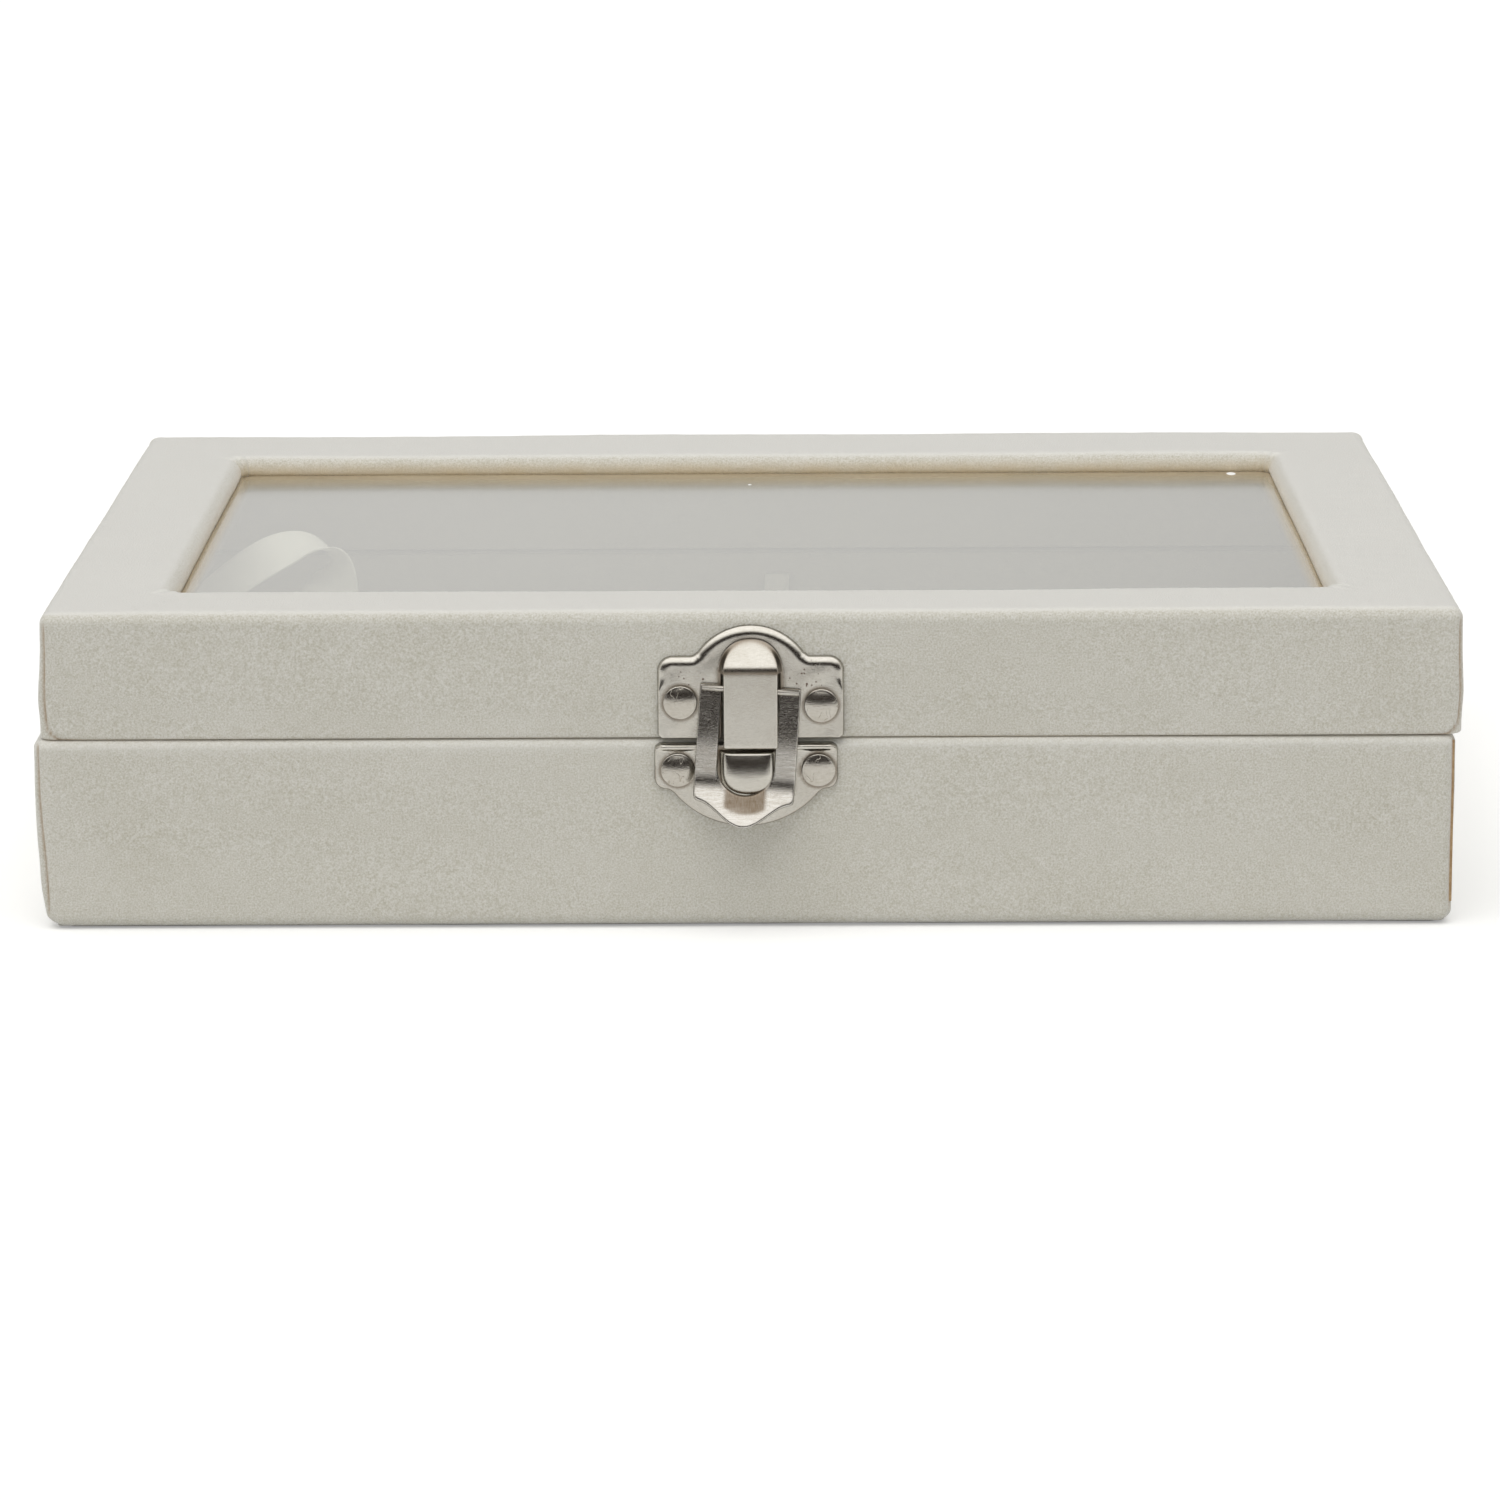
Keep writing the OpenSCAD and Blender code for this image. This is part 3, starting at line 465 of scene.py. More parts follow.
lid_rows = [box_row(93.0, 0.4, LID_FOOT + 0.1), box_row(95.0, 0.7, LID_FOOT), box_row(98.2, 1.1, LID_FOOT)]
lid_rows += [box_row(99.55 + 0.45 * c, 1.55 + 0.45 * c, LID_FOOT + 0.45 + 0.45 * s)
             for c, s in arc_rows(-90, 0, 5)]
lid_rows += [box_row(100, 2.0, z) for z in np.linspace(LID_FOOT + 0.9, LID_TOP - 2.3, 19)]
lid_rows += [box_row(98.2 + 1.8 * c, 0.6 + 1.4 * c, LID_TOP - 1.8 + 1.8 * s)
             for c, s in arc_rows(-12, 90, 11)]
outer = np.array(box_row(98.2, 0.6, LID_TOP))
inner = np.array(window_row(ROLL_R, WINDOW_R + ROLL_R, LID_TOP))
lid_rows += [tuple(outer * (1 - t) + inner * t) for t in np.linspace(0.08, 1.0, 13)]
lid_rows += [window_row(ROLL_R - ROLL_R * s, WINDOW_R + ROLL_R - ROLL_R * s, LID_TOP - ROLL_R + ROLL_R * c)
             for c, s in arc_rows(0, 90, 9)]
lid_rows += [window_row(out, WINDOW_R, GLASS_TOP - 0.01) for out in (0.1, 1.0, 2.2)]
lid_rows += [box_row(91.6, 0.4, GLASS_TOP - 0.01)]
lid_points = carried(mix, way, lid_rows)
last = len(lid_rows)
outer_part = (np.arange(last) < last - 27)[None, :]
turned = np.where(arcs < 0, 0.0, np.sin(2 * np.clip(arcs, 0, np.pi / 2)))
rear_corner = 0.4 * turned * (mix[:, 1] > 0)
lid_points[..., :2] += (rear_corner[:, None] * outer_part)[..., None] * way[:, None, :]
lid_points[..., 0] -= 0.38 * rise(-lid_points[..., 0], 96, 100) * (1 - rise(lid_points[..., 2], 31, 43))

# Gathers: where the cloth turns the window's corners it folds, so that it bulges and dips round the corner.
depth = (LID_TOP - lid_points[..., 2]) / (LID_TOP - GLASS_TOP)
row = np.arange(last)
in_roll = rise(row, last - 17, last - 10) * (1 - rise(row, last - 5, last - 3))
fold = (0.45 * turned * (0.55 + 0.45 * np.cos(arcs * 10.0)))[:, None] * in_roll[None, :]
normal = grid_normals(lid_points, ring_u=True)
lid_points = lid_points + normal * fold[..., None]
lid_z = lid_points[..., 2]
# Painted shade: the cloth rolled into the window turns browner towards the glass.
window_roll_shade = 0.85 * rise(depth, 0.10, 0.92) * (1 - outer_part) * (row < last - 2)
# Painted shade: the turned-in lower edge is browned where it faces the parting gap.
under = outer_part * (1 - rise(lid_z, LID_FOOT + 0.02, LID_FOOT + 0.12))
under = under * rise(np.abs(lid_points[..., 1]), PANEL_Y, 73.8)
lid_cover = wrapped(
    "lid_covering", lid_points, 0.0, 8, (99.5, 0.1, LID_FOOT - 0.05, 52.0, 2.6, 0.1),
    lambda z: (0.25 * rise(z, 29, 34) - 0.12 + 0.22 * (1 - rise(z, 32, 41)), -0.20 * (1 - rise(z, 28, 36))),
    rise(lid_z, 44.6, 45.5),
    {"seam": outer_part * (1 - rise(lid_z, 43.0, 45.0)) * rise(np.abs(lid_points[..., 0]), 94, 96.5),
     # The laid mark paints the top face lighter, a painted sheen, with weaker speckle; the tuck mark carries
     # the painted shade above.
     "laid_with_sheen": rise(lid_z, 45.2, 45.75), "tuck": np.maximum(window_roll_shade, 0.6 * under)})
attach(lid_cover, "lid")
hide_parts("lid_velvet")


def set_material(nodes, material):
    """Gives CAD nodes a material in place of their own."""
    for name in nodes:
        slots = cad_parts[name].data.materials
        slots.clear()
        slots.append(material)


# Boards: 6.5 mm fibreboard walls, a 2.5 mm floor and 2.2 mm rails, glued at the corners. Their edges are
# sanded round, those of the base more than the others, and the ring insert stands on a greyboard.
SIDES = ("front", "rear", "left", "right")
BASE_WALLS, LID_WALLS = ([f"{half}_{side}_wall" for side in SIDES] for half in ("base", "lid"))
LID_RAILS = [f"lid_{side}_rail" for side in SIDES]
SANDED, BASE_SANDED = 0.0010, 0.0016


def board_material(name, pale, dark):
    """Pressed fibres: streaks from stretched noise, with fine specks."""
    made, draw = new_material(name)
    strands = draw.noise(0.0011, 4.0, draw.stretch(draw.places(), (0.35, 0.35, 1.0)))
    specks = draw.noise(0.0003, 1.0)
    surface = draw.node("BsdfPrincipled", {}, {
        "Base Color": draw.mix(((strands - 0.5) * 1.6 + (specks - 0.5) * 0.7 + 0.5).clip(), pale, dark),
        "Roughness": 0.88, "Normal": draw.bump(strands + specks * 0.4, 0.00012), "Specular IOR Level": 0.25})
    close_material(draw, surface)
    return made


fibreboard = board_material("fibreboard", linear(196, 168, 132), linear(158, 128, 94))
set_material(["base_floor_board", *BASE_WALLS, *LID_WALLS, *LID_RAILS], fibreboard)
greyboard = board_material("greyboard", linear(205, 202, 192), linear(176, 172, 160))
set_material(["insert_board"], greyboard)
for node in ["base_floor_board", *BASE_WALLS, *LID_WALLS, "lid_front_rail", "lid_rear_rail"]:
    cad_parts[node].modifiers.new("joined corners", "WELD").merge_threshold = 0.000002
    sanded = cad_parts[node].modifiers.new("sanded edges", "BEVEL")
    sanded.width, sanded.segments, sanded.limit_method = SANDED, 3, "ANGLE"
    if node in BASE_WALLS:
        sanded.width = BASE_SANDED

# Underside: a thin sheet of felt paper, glued under the floor board 2 mm in from the edges. Its edge is
# rounded and its lower face is a little wavy.
FELT_TOP = 0.8
felt, draw = new_material("felt_paper")
hairs = draw.noise(0.0007, 4.0, draw.stretch(draw.places(), (1.0, 0.4, 1.0)), 0.7)
patches = (hairs * 0.8 + draw.noise(0.013, 2.0) * 0.3).clip()
close_material(draw, draw.node("BsdfPrincipled", {}, {
    "Base Color": draw.mix(patches, linear(172, 165, 150), linear(126, 120, 108)),
    "Roughness": 0.95, "Normal": draw.bump(hairs, 0.00025), "Specular IOR Level": 0.1, "Sheen Weight": 0.2}))
felt_mix, felt_way, _ = stations(4.0, 6)


def felt_row(half, z):
    """A row of a flat face of the sheet, whose corners get tighter towards the middle."""
    return half, half * 73 / 98, 0, min(1.5, half * 0.05), z


felt_rows = [(0.5, 0.5, 0, 0.01, 0.0)] + [felt_row(half, 0.0) for half in np.linspace(12, 96, 14)]
felt_rows += [box_row(97.7 + 0.3 * c, 1.5, 0.4 + 0.4 * s) for c, s in arc_rows(-90, 90, 6)]
felt_rows += [felt_row(half, FELT_TOP) for half in np.linspace(96, 0.5, 15)]
felt_points = carried(felt_mix, felt_way, felt_rows)
felt_points[..., 2] += np.where(felt_points[..., 2] < 0.3, np.abs(slack(felt_points, 5, [(30, 0.05)])), 0)
felt_sheet = mesh_piece("underside_sheet", [(felt_points, True, False)], felt)
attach(felt_sheet, "base")
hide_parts("underside_felt")

# Linings: strips of card faced with short velvet, cut to length and glued inside the walls. Those in the lid
# hold the glass up against the frame.
LINING_R = 0.32
lining = velvet_material("lining_velvet", (0.62, 0.61, 0.56), (0.52, 0.51, 0.465))


def node_box(node):
    """The lower and the upper corner of a CAD node's box, in millimetres."""
    return (np.array(corner) * 1000.0 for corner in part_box(node))


def lining_strip(node, seed):
    """A strip in the CAD node's box: its outline in height and thickness has rounded edges and is carried
    along its length, with a slow wave of 0.05 mm."""
    low, high = node_box(node)
    along = 0 if high[0] - low[0] > high[1] - low[1] else 1
    thick = 1 - along
    middle, half = (low + high) / 2, (high - low) / 2
    angle = np.radians(np.arange(0, 360, 15) + 7.5)
    out = np.sign(np.cos(angle)) * (half[thick] - LINING_R) + LINING_R * np.cos(angle)
    up = np.sign(np.sin(angle)) * (half[2] - LINING_R) + LINING_R * np.sin(angle)
    ends = np.array([0.0, 0.0, 0.15, 0.5])
    full = 2 * half[along]
    lengths = np.concatenate([ends, np.linspace(1.5, full - 1.5, 90), full - ends[::-1]])
    shrink = np.ones(len(lengths))
    shrink[[0, -1]], shrink[[1, -2]], shrink[[2, -3]] = 0.0, 0.8, 0.95
    points = np.zeros((len(lengths), len(angle), 3))
    points[..., along] = (low[along] + lengths)[:, None]
    points[..., thick] = middle[thick] + out[None, :] * shrink[:, None]
    points[..., 2] = middle[2] + up[None, :] * (1 - (1 - shrink[:, None]) * LINING_R / half[2])
    points[..., thick] += slack(points[:, :1] * [[[1, 1, 0]]], seed, [(60, 0.06)]) * shrink[:, None]
    if along == 0:
        points = points[:, ::-1]
    made = mesh_piece(node + "_strip", [(points, False, True)], lining, merge=0.0005)
    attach(made, "lid" if node.startswith("lid") else "base")
    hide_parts(node)


for seed, node in enumerate(f"{half}_{side}_lining" for half in ("base", "lid") for side in SIDES):
    lining_strip(node, 20 + seed)

# Ring rolls: eight rods of foam wrapped in the same velvet and laid side by side on the insert board.
# The rings are pushed into the slots between them.
ROLLS = 8
ROLL_CAP, PUFF_FRAMES, PUFF_GRAIN = 1.4, 20, 0.0026
roll_velvet = velvet_material("roll_velvet")


def corner_places(mesh):
    """The places of all corners of a mesh, in metres."""
    places = np.empty(len(mesh.vertices) * 3)
    mesh.vertices.foreach_get("co", places)
    return places.reshape(-1, 3)


def roll_blank(low, high):
    """A rod with a flat foot and a half-round top: its outline in y and z is carried along x, and is drawn in
    at the ends."""
    middle_y, half_y = (low[1] + high[1]) / 2, (high[1] - low[1]) / 2 - 0.55
    foot, crown = low[2] + 0.25, high[2] - 0.7
    angle = np.radians(np.linspace(0, 180, 19))
    outline = [(half_y * np.cos(a), crown - half_y + half_y * np.sin(a)) for a in angle]
    outline = np.array(outline + [(-half_y, foot + 1.2), (-half_y + 1.2, foot), (0.0, foot),
                                  (half_y - 1.2, foot), (half_y, foot + 1.2)])
    centre = np.array([0.0, (foot + crown) / 2])
    x = np.concatenate([[low[0] + 0.6, low[0] + 0.6, low[0] + 1.4], np.linspace(low[0] + 3, high[0] - 3, 60),
                        [high[0] - 1.4, high[0] - 0.6, high[0] - 0.6]])
    size = np.ones(len(x))
    size[[0, -1]], size[[1, -2]], size[[2, -3]] = 0.0, 0.86, 0.96
    section = centre + (outline - centre)[None] * size[:, None, None]
    return np.stack([np.repeat(x[:, None], len(outline), 1), middle_y + section[..., 0], section[..., 1]], -1)


def puffed(piece, low, high, seed):
    """Foam under cloth: the piece is remeshed, blown up as cloth for 20 frames, kept within the cap and
    within its own slot, and smoothed once."""
    scene = bpy.context.scene
    remesh = piece.modifiers.new("remesh", "REMESH")
    remesh.mode, remesh.voxel_size = "VOXEL", PUFF_GRAIN
    bpy.context.view_layer.update()
    blank = bpy.data.meshes.new_from_object(piece.evaluated_get(bpy.context.evaluated_depsgraph_get()))
    blank.materials.clear()
    blank.materials.append(roll_velvet)
    piece.modifiers.clear()
    piece.data = blank
    start = end = corner_places(blank)
    cloth = piece.modifiers.new("cloth", "CLOTH")
    cloth.settings.use_pressure = True
    cloth.settings.uniform_pressure_force = 4.0
    cloth.settings.quality = 4
    cloth.settings.effector_weights.gravity = 0.0
    cloth.settings.tension_stiffness = cloth.settings.compression_stiffness = 12.0
    cloth.settings.bending_stiffness = 0.4
    cloth.point_cache.frame_start, cloth.point_cache.frame_end = 1, PUFF_FRAMES
    for frame_number in range(1, PUFF_FRAMES + 1):
        scene.frame_set(frame_number)
    end = corner_places(piece.evaluated_get(bpy.context.evaluated_depsgraph_get()).to_mesh())
    piece.modifiers.clear()
    scene.frame_set(1)
    move = end - start
    length = np.linalg.norm(move, axis=1, keepdims=True)
    move *= np.minimum(1.0, ROLL_CAP / 1000.0 / np.maximum(length, 1e-9))
    shape = (start + move) * 1000.0
    pinch = slack(shape, seed, [(34, 0.16), (11, 0.07)])
    shape[:, 2] += pinch * rise(shape[:, 2], low[2] + 3, high[2])
    tuck = rise(np.abs(shape[:, 0]), 84, 91)
    shape[:, 2] -= tuck * 0.6 * rise(shape[:, 2], low[2] + 5, high[2])
    shape = np.clip(shape, low + [0.05, -0.12, 0.02], high + [-0.05, 0.12, 0.25])
    blank.vertices.foreach_set("co", (shape / 1000.0).ravel())
    blank.shade_smooth()
    smooth = piece.modifiers.new("smooth", "SUBSURF")
    smooth.levels = smooth.render_levels = 1


for number in range(1, ROLLS + 1):
    node = f"ring_roll_{number}"
    low, high = node_box(node)
    blank = roll_blank(low, high)
    roll = mesh_piece(f"foam_roll_{number}", [(blank, False, True)], roll_velvet, merge=0.0005)
    puffed(roll, low, high, 40 + number)
    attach(roll, "base")
    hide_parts(node)


# Stay ribbon: a 10 mm satin band, glued to the left linings of the base and the lid. It stops the lid
# falling back, and lies in a loop when the box is shut.
RIBBON_W, RIBBON_T, RIBBON_LENGTH = 10.0, 0.4, 74.3
RIBBON_START = np.array([-91.65, 0.0, 0.0])

# Each station: how far the band's middle lies right of the left lining, its y and z, and the direction of the
# band's width.
ribbon_stations = np.array([
    [0, 37, 33.6, 0, 1, 0], [0, 36.6, 30.6, 0, 1, 0],
    [0.5, 33.6, 25.5, -0.2, 0.9, -0.15], [3, 32.6, 25.2, -0.54, 0.83, 0.07],
    [9, 34.5, 29.7, -0.49, 0.84, 0.23], [15, 36.3, 33.2, -0.45, 0.84, 0.30],
    [20, 37, 34.5, -0.34, 0.92, 0.19], [24, 36.6, 33.1, -0.32, 0.94, -0.05],
    [24.6, 35.4, 29.9, -0.72, 0.69, -0.03], [23.2, 34.2, 25.6, -0.9, 0.41, 0.08],
    [18, 33.2, 21.7, -0.32, 0.9, 0.3], [5, 36, 21.4, 0, 0.95, 0.3],
    [0, 37, 18, 0, 1, 0], [0, 37, 15.2, 0, 1, 0]])


def smooth_line(route, steps):
    """Curve through all points of a route, each stretch a cubic set by the points beside it."""
    padded = np.concatenate([route[:1], route, route[-1:]])
    t = (np.arange(steps) / steps)[None, :, None]
    p0, p1, p2, p3 = (padded[k:len(route) - 1 + k][:, None, :] for k in range(4))
    curve = 0.5 * (2 * p1 + (p2 - p0) * t + (2 * p0 - 5 * p1 + 4 * p2 - p3) * t ** 2
                   + (3 * p1 - p0 - 3 * p2 + p3) * t ** 3)
    return np.concatenate([curve.reshape(-1, route.shape[1]), route[-1:]])


def travelled(path):
    """The length of a line of straight stretches from its start to each of its points."""
    return np.concatenate([[0], np.cumsum(np.linalg.norm(np.diff(path, axis=0), axis=1))])


satin, draw = new_material("satin")
threads = draw.node("TexWave", {"wave_type": "BANDS", "bands_direction": "Y", "wave_profile": "SIN"}, {
    "Vector": draw.node("UVMap", {"uv_map": "cloth"}), "Scale": 0.32, "Distortion": 0.4, "Detail": 1.0})
lustre = draw.noise(0.004, 2.0, draw.node("UVMap", {"uv_map": "cloth"}))
close_material(draw, draw.node("BsdfPrincipled", {}, {
    "Base Color": draw.mix((threads * 0.25 + lustre * 0.2).clip(), (0.76, 0.75, 0.68), (0.66, 0.65, 0.58)),
    "Roughness": 0.42 + threads * 0.12, "Normal": draw.bump(threads, 0.00002, 0.6),
    "Specular IOR Level": 0.4, "Sheen Weight": 0.3}))


def band_piece(name, middle, across, width, thick, material):
    """A woven band: its rounded flat section is carried along a line. across is the unit direction of its
    width at each point, and the thickness goes square to both."""
    along = np.gradient(middle, axis=0)
    along /= np.linalg.norm(along, axis=1, keepdims=True)
    across = across - along * (across * along).sum(1, keepdims=True)
    across /= np.linalg.norm(across, axis=1, keepdims=True)
    face = np.cross(along, across)
    angle = np.radians(np.arange(0, 180, 30) + 15)
    flat = np.linspace(-1, 1, 9)[1:-1]
    half = thick / 2
    section = [(width / 2 - half + half * np.sin(a), half * np.cos(a)) for a in angle]
    section += [(-s * (width / 2 - half), -half) for s in flat]
    section += [(-(width / 2 - half) - half * np.sin(a), -half * np.cos(a)) for a in angle]
    section += [(s * (width / 2 - half), half) for s in flat]
    section = np.array(section)
    points = middle[:, None] + across[:, None] * section[None, :, :1] + face[:, None] * section[None, :, 1:]
    cap = [np.repeat(points[k].mean(0)[None, None], len(section), 1) for k in (0, -1)]
    points = np.concatenate([cap[0], points, cap[1]])
    length = np.pad(travelled(middle), 1, "edge")[:, None] + 0 * points[..., 0]
    marks = {"along": length, "sideways": 0 * length + section[None, :, 0]}
    made = mesh_piece(name, [(points, False, True)], material, marks, 0.0005)
    kept = np.zeros((2, len(made.data.vertices)), np.float32)
    for row, mark in enumerate(marks):
        made.data.attributes[mark].data.foreach_get("value", kept[row])
    corner = np.empty(len(made.data.loops), dtype=np.int32)
    made.data.loops.foreach_get("vertex_index", corner)
    made.data.uv_layers.new(name="cloth")
    made.data.uv_layers["cloth"].data.foreach_set("uv", kept.T[corner].ravel())
    return made, kept[0] / length.max()


line = smooth_line(ribbon_stations, 16)
middle = RIBBON_START + np.stack([np.maximum(line[:, 0], 0.0), line[:, 1], line[:, 2]], -1)
across = line[:, 3:]
ribbon, ribbon_share = band_piece("stay_band", middle, across, RIBBON_W, RIBBON_T, satin)
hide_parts("stay_ribbon")
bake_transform(ribbon)
weights = rise(ribbon_share, 0.06, 0.94)

# Pull tab: a narrow satin band, doubled into a loop and glued under the insert board at the rear. It lifts
# the insert out.
tab_low, tab_high = node_box("pull_tab")
tab_x = (tab_low[0] + tab_high[0]) / 2
tab_y, tab_r = (tab_low[1] + tab_high[1]) / 2, (tab_high[1] - tab_low[1]) / 2 - 0.2
tab_bend = tab_high[2] - tab_r - 0.2
leg_z = np.linspace(tab_low[2], tab_bend, 26)
bend = np.radians(np.linspace(0, 180, 13)[1:-1])
loop_y = np.concatenate([np.full(26, -tab_r), -tab_r * np.cos(bend), np.full(26, tab_r)]) + tab_y
loop_z = np.concatenate([leg_z, tab_bend + tab_r * np.sin(bend), leg_z[::-1]])
tab_line = np.stack([tab_x + 0.25 * np.sin(loop_z / 3.1), loop_y, loop_z], -1)
tab, _ = band_piece("pull_loop", tab_line, np.repeat([[1.0, 0.0, 0.0]], len(tab_line), 0),
                    tab_high[0] - tab_low[0] - 0.5, 0.38, satin)
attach(tab, "base")
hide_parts("pull_tab")

# Glass: a loose pane of 1.4 mm window glass, held up against the frame by the lid's linings. It mirrors the
# tent at a low angle and has dust on it. Along its sides and its rear edge a brown band is old glue and a
# painted reflection of the shaded roll.
MOTES = [(0.0768, 0.0512, 0.00085), (-0.0008, 0.0430, 0.00035)]
glass, draw = new_material("pane_glass")
fresnel = draw.node("Fresnel", {}, {"IOR": 1.52})
front = 1.0 - draw.node("NewGeometry", out="Backfacing")
both = (fresnel * 2.0) / (fresnel + 1.0)
smears = draw.noise(0.018, 3.0)
motes = draw.node("TexVoronoi", {"feature": "F1"}, {"Vector": draw.places(), "Scale": 90.0})
dust = (1.0 - motes.step(0.006, 0.016)) * draw.noise(0.03, 0.0).step(0.56, 0.60)
x, y, _ = draw.axes(draw.places())
for mote_x, mote_y, mote_r in MOTES:
    away = ((x - mote_x) * (x - mote_x) + (y - mote_y) * (y - mote_y) * 0.3) ** 0.5
    dust = dust.high(1.0 - away.step(mote_r * 0.7, mote_r))
clear = draw.node("BsdfTransparent", {}, {"Color": (0.90, 0.905, 0.885, 1.0)})
mirror = draw.node("BsdfGlossy", {}, {"Color": (1.0, 1.0, 1.0, 1.0), "Roughness": 0.12})
haze = draw.node("BsdfDiffuse", {}, {"Color": (0.92, 0.92, 0.90, 1.0)})
to_side = WINDOW_X / 1000.0 - x.size()
to_rear = (WINDOW_MID + WINDOW_Y) / 1000.0 - y
# Painted reflection: a brown band near the sides and the rear edge, old glue and also the shaded roll
# mirrored in the glass.
glue_and_reflection_band = (1.0 - to_side.step(0.0, 0.0026)).high(1.0 - to_rear.step(0.0, 0.014)) * front
glue_and_reflection_brown = draw.node("BsdfDiffuse", {}, {"Color": (0.58, 0.48, 0.33, 1.0)})
sheen = draw.node("MixShader", {}, {0: both * front, 1: clear, 2: mirror})
with_glue_and_reflection = draw.node("MixShader", {}, {0: glue_and_reflection_band * (smears * 0.4 + 0.3), 1: sheen, 2: glue_and_reflection_brown})
dusted = ((smears.step(0.45, 0.9) * 0.02 + dust) * front).clip()
close_material(draw, draw.node("MixShader", {}, {0: dusted, 1: with_glue_and_reflection, 2: haze}))
set_material(["glass_pane"], glass)


# Latch: three pressings of thin steel sheet, nickel-plated, and four domed nails. Years of use have left fine
# scratches and specks of rust. Brown is painted as shade in the creases, slots and along the feet, as a
# painted reflection on the lever's flare, and in a darker ring round the nail heads. First the metal, and
# where the nails are.
# Brown for painted shade and reflection on the metal and for the rings round the nail heads; rust brown for
# the specks.
SHADE_AND_GRIME_BROWN, RUST_BROWN = linear(113, 98, 80), linear(96, 72, 54)
NOSE_X, VELVET_Y, HEAD_R = -0.4, -75.0, 2.4
LATCH_NAILS = [("upper_nail_left", "lid", -9.9, 33.0, (0.00, 0.03)),
               ("upper_nail_right", "lid", 9.9, 32.5, (0.02, 0.0)),
               ("lower_nail_left", "base", -10.3, 23.3, (0.0, -0.02)),
               ("lower_nail_right", "base", 9.5, 23.2, (-0.03, 0.10))]


def nickel_material(name, grain, tone, rough=0.20, relief=0.00002, worn=0.0, brushed=0.0):
    """Plated steel: rolling lines from noise stretched by grain, in colour, roughness and a shallow relief,
    hair scratches from thin noise bands, tarnish, brown specks where the mark rust is, and brown where the
    other
    mark is high: painted shade and reflection, and the rings round the nail heads."""
    made, draw = new_material(name)
    places = draw.places()
    lines = draw.noise(0.0007, 4.0, draw.stretch(places, grain), 0.7)
    uprights = draw.noise(0.0007, 3.0, draw.stretch(places, (9.0, 1.0, 0.5)), 0.7)
    brush = (draw.noise(0.0007, 2.0, draw.stretch(places, (0.4, 1.0, 4.0)), 0.6) - 0.5) * brushed
    hairs = draw.noise(0.0016, 2.0, draw.stretch(places, (1.0, 1.0, 0.5)))
    in_patches = draw.noise(0.0026, 1.0).step(0.50, 0.60) * worn
    scratches = (1.0 - (hairs - 0.5).size().step(0.0, 0.012)) * in_patches
    tarnish = draw.noise(0.0045, 3.0)
    dulled = tuple(c * k for c, k in zip(tone, (0.76, 0.73, 0.68)))
    shade = (lines - 0.5) * 1.7 + (uprights - 0.5) * 0.7 + (tarnish - 0.5) * 0.7
    shade = shade + scratches * 0.8 + brush * 1.7 + 0.35
    pits = draw.node("TexVoronoi", {"feature": "F1"}, {"Vector": places, "Scale": 1500.0, "Randomness": 1.0})
    dots = (1.0 - pits.step(0.15, 0.30)) * draw.noise(0.0011, 1.0).step(0.47, 0.54) * draw.attribute("rust")
    # Painted shade and reflection in brown, with the rings round the nail heads, where the mark is high.
    shade_and_grime = draw.attribute("grime_and_shade") * (0.6 + tarnish * 0.6 + (uprights - 0.5) * 0.8)
    metal = draw.mix(shade_and_grime.clip(), draw.mix(shade.clip(), tone, dulled), SHADE_AND_GRIME_BROWN)
    dull = rough + (lines - 0.5) * 0.16 + brush * 0.3 + scratches * 0.2 + shade_and_grime * 0.15 + dots * 0.4
    surface = draw.node("BsdfPrincipled", {}, {
        "Base Color": draw.mix(dots, metal, RUST_BROWN), "Metallic": 1.0 - dots * 0.8,
        "Roughness": dull.clip(),
        "Normal": draw.bump(lines * 0.5 + uprights * 0.3 - scratches * 0.8, relief, 1.0)})
    close_material(draw, surface)
    return made


plate_nickel = nickel_material("plate_nickel", (1.0, 1.0, 12.0), (0.56, 0.54, 0.495))
lever_nickel = nickel_material("lever_nickel", (1.0, 1.0, 18.0), (0.54, 0.52, 0.485), 0.22, 0.00003,
                               brushed=1.0)


def nail_rings(x, z, body):
    """A darker brown ring just round each nail head of one plate."""
    rings = [bell(np.hypot(x - nail_x, z - nail_z) - HEAD_R - 0.1, 0.28)
             for _, of_body, nail_x, nail_z, _ in LATCH_NAILS if of_body == body]
    return np.maximum(*rings)


# Upper latch plate: a pressed tray 1.2 mm high with an arched crown. Its upper edge rolls back to the velvet,
# a dome rises in the middle, and out of the dome runs the flat spring tongue, cut free by a slot at each
# side.
PLATE_RISE, PLATE_LIP, SHEET = 1.2, 0.12, 0.45
TONGUE_STAND, SLOT_HALF, CREASE_Z = 3.4, 4.35, 37.6
DOME_HALF, DOME_HIGH, DOME_FOOT = 3.75, 3.9, 0.75
WARP = 0.012
LID_PLATE = dict(half=13.15, foot=27.9, shoulder=39.5, arch_half=7.8, apex=43.9, corner=2.2)


def at_lengths(path, lengths):
    """The places on a line at the given lengths from its start."""
    return np.stack([np.interp(lengths, travelled(path), path[:, i]) for i in range(path.shape[1])], -1)


def evened(path, count):
    """The same line with points at even distances."""
    return at_lengths(path, np.linspace(0, travelled(path)[-1], count))


def between(one, other, shares):
    """A grid whose rows lead from the points of one line to those of the other, by shares of the way."""
    return one[:, None] * (1 - shares[None, :, None]) + other[:, None] * shares[None, :, None]


def rounded(distance, width):
    """0 to 1 over the given width, as a quarter of an ellipse."""
    return np.sqrt(np.clip(1 - (1 - np.clip(distance / width, 0, 1)) ** 2, 0, 1))


